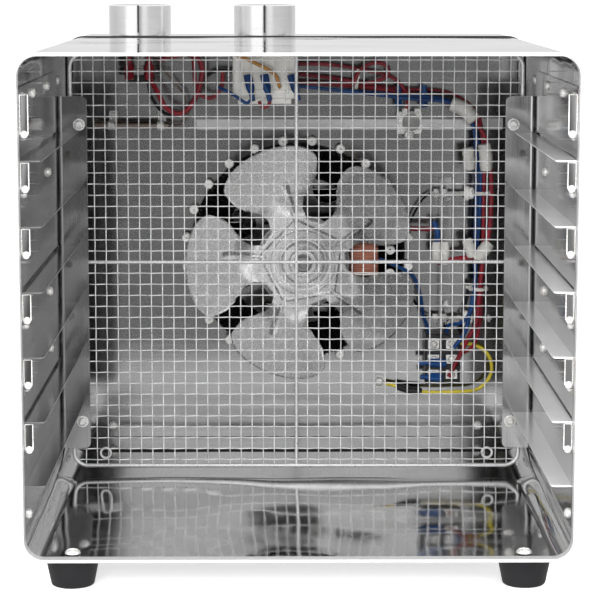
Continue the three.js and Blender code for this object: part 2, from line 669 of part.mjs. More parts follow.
// A threaded stud along X with a nut on each side of the bracket plate.
function heaterStud(z) {
  const shank = rod('x', STUD_Y, z, STUD.radius, STUD.left, STUD.right);
  const nuts = STUD_NUT.places.map(([x0, x1]) => rod('x', STUD_Y, z, STUD_NUT.radius, x0, x1));
  return join(shank, ...nuts);
}

function studInsulator(z) {
  const { left, right, halfWidth, halfHeight, corner } = INSULATOR;
  const [front, rear] = [STUD_Y - halfWidth, STUD_Y + halfWidth];
  const outline = roundedRectangle(front, rear, z - halfHeight, z + halfHeight, corner);
  const bore = rod('x', STUD_Y, z, STUD.radius + FIT_GAP, left - 5, right + 5);
  return cut(prism(outline, 'x', left, right), bore);
}

// ---------------------------------------------------------------- controls

function timerBody() {
  const { halfWidth, halfDepth, corner, bottom, gearInset, gearDrop } = TIMER;
  const [x, y, top] = [TIMER_X, KNOB_Y + 0.5, CEILING - FIT_GAP];
  const outline = roundedRectangle(x - halfWidth, x + halfWidth, y - halfDepth, y + halfDepth, corner);
  const hole = rod('z', x, KNOB_Y, SHAFT_RADIUS + FIT_GAP, top - 12, top + 1);
  const [gearX, gearY] = [halfWidth - gearInset, halfDepth - gearInset];
  const gearCase = block(x - gearX, x + gearX, y - gearY, y + gearY, bottom - gearDrop, bottom + 1);
  return cut(join(prism(outline, 'z', bottom, top), gearCase), hole);
}

function thermostatBody() {
  const { radius, bottom, terminals } = THERMOSTAT;
  const [x, top] = [THERMOSTAT_X, CEILING - FIT_GAP];
  const can = rod('z', x, KNOB_Y, radius, bottom, top);
  const { halfWidth, halfDepth, drop } = terminals;
  const base = block(
    x - halfWidth, x + halfWidth, KNOB_Y - halfDepth, KNOB_Y + halfDepth, bottom - drop, bottom + 1,
  );
  const hole = rod('z', x, KNOB_Y, SHAFT_RADIUS + FIT_GAP, top - 12, top + 1);
  return cut(join(can, base), hole);
}

function spindle(x) {
  return rod('z', x, KNOB_Y, SHAFT_RADIUS, SPINDLE_BOTTOM, SPINDLE_TOP - FIT_GAP);
}

function knob(x) {
  const [bottom, top, radius] = [KNOB_BOTTOM, KNOB_BOTTOM + KNOB_HEIGHT, KNOB_RADIUS];
  const bore = SHAFT_RADIUS + SHAFT_GAP;
  const profile = [
    [bore, bottom], [radius - 0.5, bottom], [radius, bottom + 0.5], [radius, top - KNOB_EDGE],
    [radius - KNOB_EDGE, top], [0, top], [0, SPINDLE_TOP], [bore, SPINDLE_TOP], [bore, bottom],
  ];
  const body = turned(profile, 'z', [x, KNOB_Y, 0], 32);
  const [front, halfWidth] = [KNOB_Y - radius, POINTER.halfWidth];
  const pointer = block(
    x - halfWidth, x + halfWidth, front - 1, front + POINTER.depth, bottom + POINTER.bottom, top + 1,
  );
  return cut(body, pointer);
}

function tube(points, radius, steps, sides = WIRE_SIDES) {
  const path = new THREE.CatmullRomCurve3(points.map((point) => new THREE.Vector3(...point)));
  const section = new THREE.Shape();
  for (let i = 0; i < sides; i += 1) {
    const angle = (i * 2 * Math.PI) / sides;
    const [u, v] = [radius * Math.cos(angle), radius * Math.sin(angle)];
    if (i === 0) section.moveTo(u, v);
    else section.lineTo(u, v);
  }
  return solidFrom(new THREE.ExtrudeGeometry(section, { steps, extrudePath: path }));
}

// The thermostat's sensing bulb, lying across the air stream, with its capillary tube.
function thermostatBulb() {
  const { radius, left, right, y, z, capillaryRadius } = BULB;
  const route = [
    [right - 1, y, z], [-86, 149, 263], [-82, 147, 272], [-84, 145, 286], [-91, 143, 294],
    [-98.4, 142.5, 304],
  ];
  return join(rod('x', y, z, radius, left, right), tube(route, capillaryRadius, 14));
}

function thermalCutout() {
  const { x, z, radius, depth, stand } = CUTOUT;
  const { halfWidth, height } = CUTOUT_TERMINALS;
  const front = BACK_PANEL_FRONT - stand;
  const can = rod('y', x, z, radius, front - depth, front - FIT_GAP);
  const terminals = block(x - halfWidth, x + halfWidth, front - 6, front - 3, z, z + height);
  return join(can, terminals);
}

function terminalBlock() {
  const rear = BACK_PANEL_FRONT - FIT_GAP;
  const { left, right, bottom, top, front, ridges, ridgePitch } = BLOCK;
  const pieces = [block(left, right, front + 4, rear, bottom, top)];
  for (let i = 0; i < ridges; i += 1) {
    const z = bottom + i * ridgePitch;
    pieces.push(block(left, right, front, front + 5, z, z + 2.5));
  }
  return join(...pieces);
}

function powerInlet() {
  const centred = ({ halfWidth, halfHeight }, y0, y1) => {
    const [x0, z0] = [INLET_X - halfWidth, INLET_Z - halfHeight];
    return block(x0, x0 + 2 * halfWidth, y0, y1, z0, z0 + 2 * halfHeight);
  };
  const { halfWidth, halfHeight, corner } = INLET_PLATE;
  const [left, bottom] = [INLET_X - halfWidth, INLET_Z - halfHeight];
  const plate = roundedRectangle(left, left + 2 * halfWidth, bottom, bottom + 2 * halfHeight, corner);
  const flange = prism(plate, 'y', COVER_REAR + FIT_GAP, REAR);
  const recessBottom = REAR - INLET_RECESS.depth;
  const shell = centred(INLET_SHELL, recessBottom - 7, REAR - 0.5);
  const recess = centred(INLET_RECESS, recessBottom, REAR + 1);
  const pins = INLET_PINS.map(([dx, dz]) => {
    const [x, z] = [INLET_X + dx, INLET_Z + dz];
    return block(x - 1, x + 1, recessBottom - 1, recessBottom + 13, z - 2, z + 2);
  });
  return join(cut(join(flange, shell), recess), ...pins);
}

function earthScrew() {
  const front = BACK_PANEL_FRONT - 1.5;
  const { radius, headRadius, headHeight, reach } = EARTH_SCREW;
  const profile = [
    [0, front - headHeight], [0.9 * headRadius, front - 0.75 * headHeight], [headRadius, front],
    [radius, front], [radius, front + reach], [0, front + reach],
  ];
  return turned(profile, 'y', [EARTH_POINT.x, 0, EARTH_POINT.z]);
}

// ---------------------------------------------------------------- wiring

// Each wire is held from end to end inside the cabinet; its points are the places it passes.
const WIRES = [
  {
    name: 'wire_mains_red', colour: 'red', steps: 26,
    points: [
      [1.8, 154, 300], [30, 154, 297], [70, 154, 290], [118, 153, 285], [136, 150, 272], [141, 148, 250],
      [142, 147, 200], [141, 147, 140], [140, 148, 112], [136, 152, 94], [127, 158, 86],
    ],
  },
  {
    name: 'wire_mains_blue', colour: 'blue', steps: 26,
    points: [
      [1.8, 138, 292], [30, 140, 289], [80, 141, 283], [122, 142, 277], [133, 143, 262], [135.5, 143, 240],
      [135.5, 143, 170], [134, 143, 125], [126, 148, 112], [117, 157, 108.5], [116, 160, 102.9],
    ],
  },
  {
    name: 'wire_thermostat_black', colour: 'black', steps: 18,
    points: [
      [-110, 143, 293.5], [-108, 143, 284], [-98, 139, 272], [-86, 137, 270], [-76, 138, 280],
      [-70, 140, 296], [-60, 142, 303], [-47.5, 143, 303],
    ],
  },
  {
    name: 'wire_timer_orange', colour: 'orange', steps: 18,
    points: [
      [-98.4, 136, 312], [-84, 130, 318], [-62, 121.5, 319], [-44, 118.5, 316], [-28, 118, 309],
      [-15, 118, 301], [-12.5, 120, 294], [-12, 124.4, 292],
    ],
  },
  {
    name: 'wire_motor_lead', colour: 'blue', steps: 14,
    points: [
      [62.4, 122, 164], [76, 126, 158], [88, 132, 150], [94, 138, 135], [97, 148, 118], [101, 156, 107],
      [102, 160, 102.9],
    ],
  },
  {
    name: 'wire_cutout_red', colour: 'red', steps: 14,
    points: [
      [84, 152, 275], [84, 148, 283], [76, 146, 296], [50, 146, 304], [20, 146, 308], [1.8, 146, 308],
    ],
  },
  {
    name: 'wire_earth_yellow', colour: 'yellow', steps: 22,
    points: [
      [126.6, 160, 94], [138, 158, 93], [148, 157, 85], [150, 156, 72], [141, 156, 60], [118, 156, 57],
      [92, 157, 57.5], [76, 162, 61], [69, 164, 62.5],
    ],
  },
];

// ---------------------------------------------------------------- assembly

const dehydrator = new THREE.Group();

function place(name, solid, material) {
  const mesh = new THREE.Mesh(geometryOf(solid), material);
  mesh.name = name;
  dehydrator.add(mesh);
}

place('outer_case', outerCase(), STEEL);
place('rear_cover', rearCover(), STEEL);
place('case_gasket', caseGasket(), RUBBER);
place('inner_back_panel', innerBackPanel(), STEEL);
place('control_ledge', controlLedge(), STEEL);

const rack = rightRack();
place('rack_right', rack, STEEL);
place('rack_left', mirroredAcrossX(rack), STEEL);

for (const spot of footPlaces) {
  place(`foot_${spot.name}`, foot(spot), RUBBER);
  place(`foot_screw_${spot.name}`, footScrew(spot), BRIGHT_STEEL);
}

place('fan_guard', fanGuard(), BRIGHT_STEEL);
for (const [sideName, side] of [['left', -1], ['right', 1]]) {
  for (const [heightName, z] of Object.entries(GUARD_SCREW_HEIGHTS)) {
    place(`guard_screw_${sideName}_${heightName}`, guardScrew(side * GUARD_SCREW_X, z), BRIGHT_STEEL);
  }
}

place('fan_impeller', fanImpeller(), ALUMINIUM);
place('hub_nut', hubNut(), BRIGHT_STEEL);
place('motor_shaft', motorShaft(), BRIGHT_STEEL);
place('motor_rotor', motorRotor(), LAMINATION);
place('motor_stator', motorStator(), LAMINATION);
place('motor_winding', motorWinding(), COPPER_WINDING);
place('motor_bracket_front', motorBracket(104, 106, 105.5, STATOR_FRONT - FIT_GAP, 103), ALUMINIUM);
place('motor_bracket_rear', motorBracket(140, 142, STATOR_REAR + FIT_GAP, 140.5, 138), ALUMINIUM);
place('bearing_front', bearing(103), BRIGHT_STEEL);
place('bearing_rear', bearing(138), BRIGHT_STEEL);
place('motor_bolt_upper', motorBolt(1), BRIGHT_STEEL);
place('motor_bolt_lower', motorBolt(-1), BRIGHT_STEEL);

place('heater_frame', heaterFrame(), CERAMIC);
place('heater_coil', heaterCoil(), OXIDISED_COIL);
place('heater_bracket', heaterBracket(), STEEL);
for (const [heightName, z] of Object.entries(STUD_HEIGHTS)) {
  place(`heater_stud_${heightName}`, heaterStud(z), BRIGHT_STEEL);
  place(`stud_insulator_${heightName}`, studInsulator(z), CERAMIC);
}

place('timer_body', timerBody(), WHITE_PLASTIC);
place('timer_spindle', spindle(TIMER_X), BRIGHT_STEEL);
place('timer_knob', knob(TIMER_X), BRUSHED_KNOB);
place('thermostat_body', thermostatBody(), BLACK_PLASTIC);
place('thermostat_spindle', spindle(THERMOSTAT_X), BRIGHT_STEEL);
place('thermostat_knob', knob(THERMOSTAT_X), BRUSHED_KNOB);
place('thermostat_bulb', thermostatBulb(), BRIGHT_STEEL);
place('thermal_cutout', thermalCutout(), BLACK_PLASTIC);
place('terminal_block', terminalBlock(), BLACK_PLASTIC);
place('power_inlet', powerInlet(), BLACK_PLASTIC);
place('earth_screw', earthScrew(), BRIGHT_STEEL);

for (const { name, colour, steps, points } of WIRES) {
  place(name, tube(points, WIRE_RADIUS, steps), WIRE_COLOURS[colour]);
}

export default dehydrator;
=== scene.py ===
"""The looks of a cabinet food dehydrator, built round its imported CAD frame.

Shapes are worked out in millimetres, in the frame's directions: +X right, +Y towards the back,
+Z up. A piece is scaled to metres when it is made.
"""

import math
import random

import bmesh
import bpy
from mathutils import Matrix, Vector


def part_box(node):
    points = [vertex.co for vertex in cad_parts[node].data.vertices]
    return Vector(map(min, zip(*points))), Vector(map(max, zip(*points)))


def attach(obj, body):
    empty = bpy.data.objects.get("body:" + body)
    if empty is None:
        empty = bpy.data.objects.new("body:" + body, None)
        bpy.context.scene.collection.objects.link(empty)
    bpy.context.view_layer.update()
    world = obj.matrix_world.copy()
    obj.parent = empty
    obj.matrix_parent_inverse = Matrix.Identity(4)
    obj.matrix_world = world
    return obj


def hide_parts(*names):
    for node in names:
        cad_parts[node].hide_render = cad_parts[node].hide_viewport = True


MM = 0.001
TAU = 2 * math.pi
SEED = 11
FORWARD = (0, -1, 0)

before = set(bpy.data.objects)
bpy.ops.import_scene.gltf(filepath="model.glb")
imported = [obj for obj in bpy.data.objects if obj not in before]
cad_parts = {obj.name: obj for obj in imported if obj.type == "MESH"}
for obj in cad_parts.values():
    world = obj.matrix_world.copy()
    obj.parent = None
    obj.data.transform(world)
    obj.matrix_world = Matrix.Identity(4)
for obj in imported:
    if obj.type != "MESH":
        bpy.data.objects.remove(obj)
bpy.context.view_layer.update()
scene = bpy.context.scene
scene.view_settings.view_transform = "Standard"


# ---------------------------------------------------------------- places, from the frame

def box_mm(node):
    """A CAD node's lowest and highest corners, in millimetres."""
    return [[value / MM for value in corner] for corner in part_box(node)]


def middle(node):
    low, high = box_mm(node)
    return [(a + b) / 2 for a, b in zip(low, high)]


case_low, case_high = box_mm("outer_case")
cover_low, cover_high = box_mm("rear_cover")
panel_low, panel_high = box_mm("inner_back_panel")
guard_low, guard_high = box_mm("fan_guard")
rack_low, rack_high = box_mm("rack_right")

FRONT = case_low[1]
UNDERSIDE, TOP = case_low[2], case_high[2]
HALF_WIDTH = case_high[0]
SHEET = 1.0
CORNER = 14.0
FAN_X, _, FAN_Z = middle("motor_shaft")
COIL_X, COIL_Y, COIL_Z = middle("heater_coil")
GUARD_Y = middle("fan_guard")[1]
PANEL_FRONT = panel_low[1]
# The motor's two through bolts stand this far above and below its shaft.
BOLT_OFFSET = 20.5


# ---------------------------------------------------------------- shapes

class Solid:
    """Points in millimetres and faces, gathered for one piece. A mark picks a face's material."""

    def __init__(self, *shapes):
        self.points = []
        self.faces = []
        self.marks = []
        for shape in shapes:
            self.add(shape)

    def add(self, shape, mark=0):
        points, faces = shape
        start = len(self.points)
        self.points.extend(points)
        self.faces.extend(tuple(start + i for i in face) for face in faces)
        self.marks.extend([mark] * len(faces))
        return self

    def shape(self):
        return self.points, self.faces


def lofted(rings, closed=False):
    """Walls between rings of points, each closed on itself. Open ends are capped."""
    count = len(rings[0])
    points = [tuple(point) for ring in rings for point in ring]
    faces = []
    for r in range(len(rings) if closed else len(rings) - 1):
        a = r * count
        b = (r + 1) % len(rings) * count
        for i in range(count):
            j = (i + 1) % count
            faces.append((a + i, a + j, b + j, b + i))
    if not closed:
        faces.append(tuple(range(count)))
        faces.append(tuple(range(len(points) - count, len(points))))
    return points, faces


def arc(u, v, radius, start, end, steps=6):
    """Points on an arc, both ends included; angles in degrees."""
    angles = [math.radians(start + (end - start) * i / steps) for i in range(steps + 1)]
    return [(u + radius * math.cos(a), v + radius * math.sin(a)) for a in angles]


def circle(u, v, radius, steps=24):
    return arc(u, v, radius, 0, 360, steps)[:-1]


def rounded_rectangle(u0, u1, v0, v1, radius, steps=6):
    return (
        arc(u1 - radius, v0 + radius, radius, -90, 0, steps)
        + arc(u1 - radius, v1 - radius, radius, 0, 90, steps)
        + arc(u0 + radius, v1 - radius, radius, 90, 180, steps)
        + arc(u0 + radius, v0 + radius, radius, 180, 270, steps)
    )


AXES = {
    "x": (Vector((0, 1, 0)), Vector((0, 0, 1)), Vector((1, 0, 0))),
    "y": (Vector((1, 0, 0)), Vector((0, 0, 1)), Vector((0, 1, 0))),
    "z": (Vector((1, 0, 0)), Vector((0, 1, 0)), Vector((0, 0, 1))),
}


def placed(shape, axis, origin=(0, 0, 0)):
    """A shape made in (u, v, w) set with w along an axis, or along any direction."""
    if isinstance(axis, str):
        u, v, w = AXES[axis]
    else:
        w = Vector(axis).normalized()
        u = w.orthogonal().normalized()
        v = w.cross(u)
    start = Vector(origin)
    points = [tuple(start + u * p[0] + v * p[1] + w * p[2]) for p in shape[0]]
    return points, shape[1]


def moved(shape, offset):
    return [tuple(a + b for a, b in zip(p, offset)) for p in shape[0]], shape[1]


def mirrored(shape):
    """A shape's image across the plane x = 0."""
    return [(-x, y, z) for x, y, z in shape[0]], shape[1]


def turned(profile, steps=32, closed=False):
    """A shape of revolution about w, from (radius, w) points."""
    rings = [[(u, v, w) for u, v in circle(0, 0, radius, steps)] for radius, w in profile]
    return lofted(rings, closed)


def lathe(profile, steps, axis, place, closed=False):
    return placed(turned(profile, steps, closed), axis, place)


def smooth_path(points, spacing=2.0):
    """Points along a centripetal Catmull-Rom curve, at about even spacing."""
    knots = [Vector(p) for p in points]
    knots = [knots[0] * 2 - knots[1]] + knots + [knots[-1] * 2 - knots[-2]]
    path = []
    for p0, p1, p2, p3 in zip(knots, knots[1:], knots[2:], knots[3:]):
        t1 = (p1 - p0).length ** 0.5
        t2 = t1 + (p2 - p1).length ** 0.5
        t3 = t2 + (p3 - p2).length ** 0.5
        steps = max(2, round((p2 - p1).length / spacing))
        for i in range(steps):
            t = t1 + (t2 - t1) * i / steps
            a1 = p0.lerp(p1, t / t1)
            a2 = p1.lerp(p2, (t - t1) / (t2 - t1))
            a3 = p2.lerp(p3, (t - t2) / (t3 - t2))
            b1 = a1.lerp(a2, t / t2)
            b2 = a2.lerp(a3, (t - t1) / (t3 - t1))
            path.append(b1.lerp(b2, (t - t1) / (t2 - t1)))
    path.append(knots[-2])
    return path


def tube(path, radius, sides=10, closed=False):
    """A round tube along points. The radius may be one number or one for each point."""
    path = [Vector(p) for p in path]
    radii = radius if isinstance(radius, list) else [radius] * len(path)
    last = len(path) - 1
    rings = []
    across = None
    for i, point in enumerate(path):
        ahead = path[(i + 1) % len(path)] if closed else path[min(i + 1, last)]
        behind = path[i - 1] if closed or i else path[0]
        along = (ahead - behind).normalized()
        across = along.orthogonal() if across is None else across - along * across.dot(along)
        across = across.normalized()
        up = along.cross(across)
        rings.append([point + across * u + up * v for u, v in circle(0, 0, radii[i], sides)])
    return lofted(rings, closed)


def mesh_shape(mesh):
    """The points and faces of a bmesh."""
    mesh.verts.ensure_lookup_table()
    mesh.verts.index_update()
    points = [tuple(v.co) for v in mesh.verts]
    faces = [tuple(v.index for v in face.verts) for face in mesh.faces]
    mesh.free()
    return points, faces


def bmesh_of(shape):
    mesh = bmesh.new()
    verts = [mesh.verts.new(p) for p in shape[0]]
    for face in shape[1]:
        mesh.faces.new([verts[i] for i in face])
    return mesh


def soft_box(low, high, radius=0.4, segments=2):
    """A block with rounded edges."""
    mesh = bmesh.new()
    bmesh.ops.create_cube(mesh, size=1)
    for vert in mesh.verts:
        vert.co = [a + (b - a) * (c + 0.5) for a, b, c in zip(low, high, vert.co)]
    edges = mesh.edges[:]
    bmesh.ops.bevel(mesh, geom=edges, offset=radius, segments=segments, profile=0.5, affect="EDGES")
    return mesh_shape(mesh)


def flat_plate(outline, thickness, holes=(), edge=0.15):
    """A plate in u and v, from w = 0 to its thickness, with rounded edges round its outline and holes."""
    curve = bpy.data.curves.new("outline", "CURVE")
    curve.dimensions = "2D"
    curve.fill_mode = "BOTH"
    curve.extrude = thickness / 2 - edge
    curve.bevel_depth = edge
    curve.bevel_resolution = 1
    curve.offset = -edge
    for loop in [outline, *holes]:
        spline = curve.splines.new("POLY")
        spline.points.add(len(loop) - 1)
        for point, (u, v) in zip(spline.points, loop):
            point.co = (u, v, 0, 1)
        spline.use_cyclic_u = True
    holder = bpy.data.objects.new("outline", curve)
    made = bpy.data.meshes.new_from_object(holder)
    mesh = bmesh.new()
    mesh.from_mesh(made)
    bmesh.ops.remove_doubles(mesh, verts=mesh.verts[:], dist=0.002)
    bmesh.ops.translate(mesh, verts=mesh.verts[:], vec=(0, 0, thickness / 2))
    bpy.data.objects.remove(holder)
    bpy.data.meshes.remove(made)
    bpy.data.curves.remove(curve)
    return mesh_shape(mesh)


def sliced(shape, u_values):
    """A shape cut across u at the given values, so that it can be bent there."""
    mesh = bmesh_of(shape)
    for u in u_values:
        geometry = mesh.verts[:] + mesh.edges[:] + mesh.faces[:]
        bmesh.ops.bisect_plane(mesh, geom=geometry, plane_co=(u, 0, 0), plane_no=(1, 0, 0), dist=1e-4)
    return mesh_shape(mesh)


def bent(shape, at, radius, angle=90, steps=6):
    """A plate in u, v and w bent about a line along v, so that what is past u = at turns towards +w."""
    length = radius * math.radians(angle)
    points, faces = sliced(shape, [at + length * i / steps for i in range(steps + 1)])
    turn = math.radians(angle)
    result = []
    for u, v, w in points:
        if u <= at:
            result.append((u, v, w))
            continue
        a = min((u - at) / radius, turn)
        past = max(0.0, u - at - length)
        reach = radius - w
        result.append((
            at + reach * math.sin(a) + past * math.cos(a),
            v,
            radius - reach * math.cos(a) + past * math.sin(a),
        ))
    return result, faces


def new_object(name, shape, scale=1.0):
    """A linked object with a shape's mesh, whose faces point out of its closed bodies."""
    mesh = bpy.data.meshes.new(name)
    mesh.from_pydata([[value * scale for value in point] for point in shape[0]], [], shape[1])
    work = bmesh.new()
    work.from_mesh(mesh)
    bmesh.ops.recalc_face_normals(work, faces=work.faces[:])
    work.to_mesh(mesh)
    work.free()
    obj = bpy.data.objects.new(name, mesh)
    scene.collection.objects.link(obj)
    return obj


def without(shape, *cutters):
    """A shape with others cut out of it."""
    body = new_object("body", shape)
    tool = new_object("tool", Solid(*cutters).shape())
    cut = body.modifiers.new("cut", "BOOLEAN")
    cut.operation = "DIFFERENCE"
    cut.solver = "EXACT"
    cut.object = tool
    bpy.context.view_layer.update()
    evaluated = body.evaluated_get(bpy.context.evaluated_depsgraph_get())
    mesh = bmesh.new()
    mesh.from_mesh(evaluated.to_mesh())
    evaluated.to_mesh_clear()
    for obj in (body, tool):
        data = obj.data
        bpy.data.objects.remove(obj)
        bpy.data.meshes.remove(data)
    return mesh_shape(mesh)


def piece(name, solid, materials, node=None, body="root", crease=32):
    """Makes a piece, rides it on its body, and hides the CAD node that it stands for."""
    solid = Solid(solid) if isinstance(solid, tuple) else solid
    materials = materials if isinstance(materials, list) else [materials]
    obj = new_object(name, solid.shape(), MM)
    mesh = obj.data
    for surface in materials:
        mesh.materials.append(surface)
    mesh.polygons.foreach_set("material_index", solid.marks)
    mesh.polygons.foreach_set("use_smooth", [True] * len(mesh.polygons))
    mesh.set_sharp_from_angle(angle=math.radians(crease))
    weighted = obj.modifiers.new("weighted", "WEIGHTED_NORMAL")
    weighted.keep_sharp = True
    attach(obj, body)
    if node:
        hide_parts(node)
    # Blender numbers a name that one of the frame's own materials already has.
    return obj


# ---------------------------------------------------------------- camera, light and floor

EYE_X, EYE_DISTANCE, EYE_HEIGHT = -9, 1400, 377
LENS = 140.8
PITCH, YAW = 7.98, 0.4


def make_camera():
    data = bpy.data.cameras.new("camera")
    data.sensor_width = 36
    data.lens = LENS
    camera = bpy.data.objects.new("camera", data)
    camera.location = [value * MM for value in (EYE_X, FRONT - EYE_DISTANCE, EYE_HEIGHT)]
    camera.rotation_euler = (math.radians(90 - PITCH), 0, math.radians(-YAW))
    scene.collection.objects.link(camera)
    scene.camera = camera


# What polished steel sees round the object: (degrees from straight in front, brightness).
# Two soft boxes stand in front, one to each side of a narrow dark gap. Behind the object it is light.
ROOM = [
    (-180, 0.78), (-110, 0.6), (-95, 0.6), (-56, 0.75), (-46, 1.25), (-9, 1.25), (-6.2, 0.9),
    (-5.6, 0.16), (5.2, 0.2), (6.6, 0.24), (9.5, 0.85), (26, 0.9), (34, 0.62), (95, 0.55),
    (110, 0.5), (130, 0.65), (180, 0.78),
]
# The table that the object stands on, seen from just above it in the same directions.
TABLE = [(-180, 0.5), (-9, 0.5), (-5.6, 0.16), (0, 0.35), (5.8, 0.45), (20, 0.5), (180, 0.5)]
ROOM_STRENGTH = 1.25
OVERHEAD = 1.1
GROUND = 0.5


def make_world():
    world = bpy.data.worlds.new("studio")
    world.use_nodes = True
    scene.world = world
    finish = Finish(world.node_tree)
    place = finish.place("Generated")
    apart = {axis: finish.part(place, axis) for axis in "XYZ"}
    away = finish.maths("MULTIPLY", apart["Y"], -1.0)
    turn = finish.maths("ARCTAN2", apart["X"], away)
    share = finish.maths("ADD", finish.maths("DIVIDE", turn, TAU), 0.5)
    rings = []
    for ring in (ROOM, TABLE):
        stops = [(0.5 + angle / 360, grey(value / ROOM_STRENGTH)) for angle, value in ring]
        rings.append(finish.ramp(share, stops))
    low = finish.span(apart["Z"], -0.16, -0.08, 1.0, 0.0)
    above = finish.span(apart["Z"], 0.0, 0.2, 0.0, 1.0)
    below = finish.span(apart["Z"], -0.5, -0.25, 1.0, 0.0)
    round_about = finish.blend(low, *rings)
    upper = finish.blend(above, round_about, grey(OVERHEAD / ROOM_STRENGTH))
    colour = finish.blend(below, upper, grey(GROUND / ROOM_STRENGTH))
    seen = finish.add("ShaderNodeLightPath").outputs["Is Camera Ray"]
    shown = finish.blend(seen, colour, grey(1.0))
    background = world.node_tree.nodes["Background"]
    finish.feed(background.inputs["Color"], shown)
    background.inputs["Strength"].default_value = ROOM_STRENGTH


def make_light(name, place, target, size, power):
    data = bpy.data.lights.new(name, "AREA")
    data.shape = "RECTANGLE"
    data.size, data.size_y = size
    data.energy = power
    light = bpy.data.objects.new(name, data)
    light.location = place
    direction = Vector(target) - Vector(place)
    light.rotation_euler = direction.to_track_quat("-Z", "Y").to_euler()
    light.visible_glossy = False
    light.visible_camera = False
    scene.collection.objects.link(light)


def make_floor():
    size = 6000
    shape = flat_plate(rounded_rectangle(-size, size, -size, size, 400, 8), 10)
    floor = new_object("floor", moved(shape, (0, 0, -10.3)), MM)
    floor.data.materials.append(floor_paper())
    floor.visible_glossy = False


# ---------------------------------------------------------------- materials

def grey(value):
    return (value, value, value, 1.0)


def rgb(red, green, blue):
    return (red, green, blue, 1.0)


class Finish:
    """Adds nodes to one tree, and feeds their sockets with values or links."""

    def __init__(self, tree, made=None):
        self.tree = tree
        self.made = made
        self.sockets = tree.nodes["Principled BSDF"].inputs if made else {}

    def add(self, kind, inputs=None, **settings):
        node = self.tree.nodes.new(kind)
        for key, value in settings.items():
            setattr(node, key, value)
        for key, value in (inputs or {}).items():
            self.feed(node.inputs[key], value)
        return node

    def feed(self, socket, value):
        if isinstance(value, bpy.types.NodeSocket):
            self.tree.links.new(value, socket)
        else:
            socket.default_value = value

    def cover(self, colour, roughness, normal=None):
        """Feeds the shader's main sockets and gives the finished material."""
        self.feed(self.sockets["Base Color"], colour)
        self.feed(self.sockets["Roughness"], roughness)
        if normal is not None:
            self.feed(self.sockets["Normal"], normal)
        return self.made

    def maths(self, operation, first, second=0.0):
        return self.add("ShaderNodeMath", {0: first, 1: second}, operation=operation).outputs[0]

    def part(self, vector, axis):
        return self.add("ShaderNodeSeparateXYZ", {"Vector": vector}).outputs[axis]

    def place(self, kind="Object"):
        return self.add("ShaderNodeTexCoord").outputs[kind]

    def noise(self, scale, detail=3.0, rough=0.55):
        """Noise in object coordinates; three scales per metre draw it out along one direction."""
        scale = scale if isinstance(scale, tuple) else (scale,) * 3
        vector = self.add("ShaderNodeMapping", {"Vector": self.place(), "Scale": scale}).outputs["Vector"]
        inputs = {"Vector": vector, "Scale": 1.0, "Detail": detail, "Roughness": rough}
        return self.add("ShaderNodeTexNoise", inputs).outputs["Fac"]

    def ramp(self, share, stops):
        node = self.add("ShaderNodeValToRGB", {"Fac": share})
        elements = node.color_ramp.elements
        while len(elements) < len(stops):
            elements.new(0.5)
        for element, (position, colour) in zip(elements, stops):
            element.position = position
            element.color = colour
        return node.outputs["Color"]

    def tones(self, share, dark, light):
        return self.ramp(share, [(0.3, dark), (0.7, light)])

    def span(self, value, low, high, to_low, to_high):
        inputs = {"Value": value, "From Min": low, "From Max": high, "To Min": to_low, "To Max": to_high}
        return self.add("ShaderNodeMapRange", inputs).outputs["Result"]

    def blend(self, share, first, second, how="MIX"):
        inputs = {0: share, 6: first, 7: second}
        return self.add("ShaderNodeMix", inputs, data_type="RGBA", blend_type=how).outputs[2]

    def bump(self, height, distance, strength=1.0, under=None):
        inputs = {"Height": height, "Distance": distance, "Strength": strength}
        if under is not None:
            inputs["Normal"] = under
        return self.add("ShaderNodeBump", inputs).outputs["Normal"]


def material(name, **sockets):
    """A new material's finish, with its shader's own sockets set from keywords."""
    made = bpy.data.materials.new(name)
    made.use_nodes = True
    finish = Finish(made.node_tree, made)
    for key, value in sockets.items():
        finish.feed(finish.sockets[key.replace("_", " ").title()], value)
    return finish


def polished_steel(name, tone, roughness, grain, waves=0.00012, hairlines=0.5, shine=1.0, bow=0.0):
    """Stainless sheet: hairlines drawn along the rolling direction, smears, and a slightly uneven face."""
    finish = material(name, metallic=shine)
    lines = finish.noise(grain, 4.0, 0.65)
    fine = finish.noise(tuple(2.7 * value for value in grain), 3.0, 0.6)
    smears = finish.noise(14.0, 4.0, 0.6)
    handled = finish.noise(45.0, 3.0, 0.55)
    shade = finish.ramp(lines, [(0.25, grey(tone * 0.86)), (0.75, grey(min(tone * 1.1, 0.98)))])
    colour = finish.blend(1.0, shade, finish.tones(smears, grey(0.93), grey(1.0)), "MULTIPLY")
    worn = finish.span(finish.maths("MULTIPLY", smears, handled), 0.1, 0.45, 0.0, 0.035)
    spread = finish.maths("ADD", worn, finish.span(fine, 0.3, 0.7, 0.0, 0.02))
    uneven = finish.bump(finish.noise(9.0, 1.0, 0.4), waves * 20, 1.0)
    if bow:
        depth = finish.maths("MINIMUM", finish.part(finish.place(), "Y"), 0.02)
        uneven = finish.bump(finish.maths("MULTIPLY", depth, -bow), 1.0, 1.0, uneven)
    normal = finish.bump(lines, 0.00002, hairlines, uneven)
    return finish.cover(colour, finish.maths("ADD", spread, roughness), normal)


def bright_wire():
    finish = material("bright_wire", metallic=0.76)
    streaks = finish.noise(700.0, 2.0)
    colour = finish.tones(finish.noise(60.0, 3.0), grey(0.8), grey(0.96))
    roughness = finish.span(streaks, 0.2, 0.8, 0.22, 0.42)
    return finish.cover(colour, roughness, finish.bump(streaks, 0.00003, 0.4))


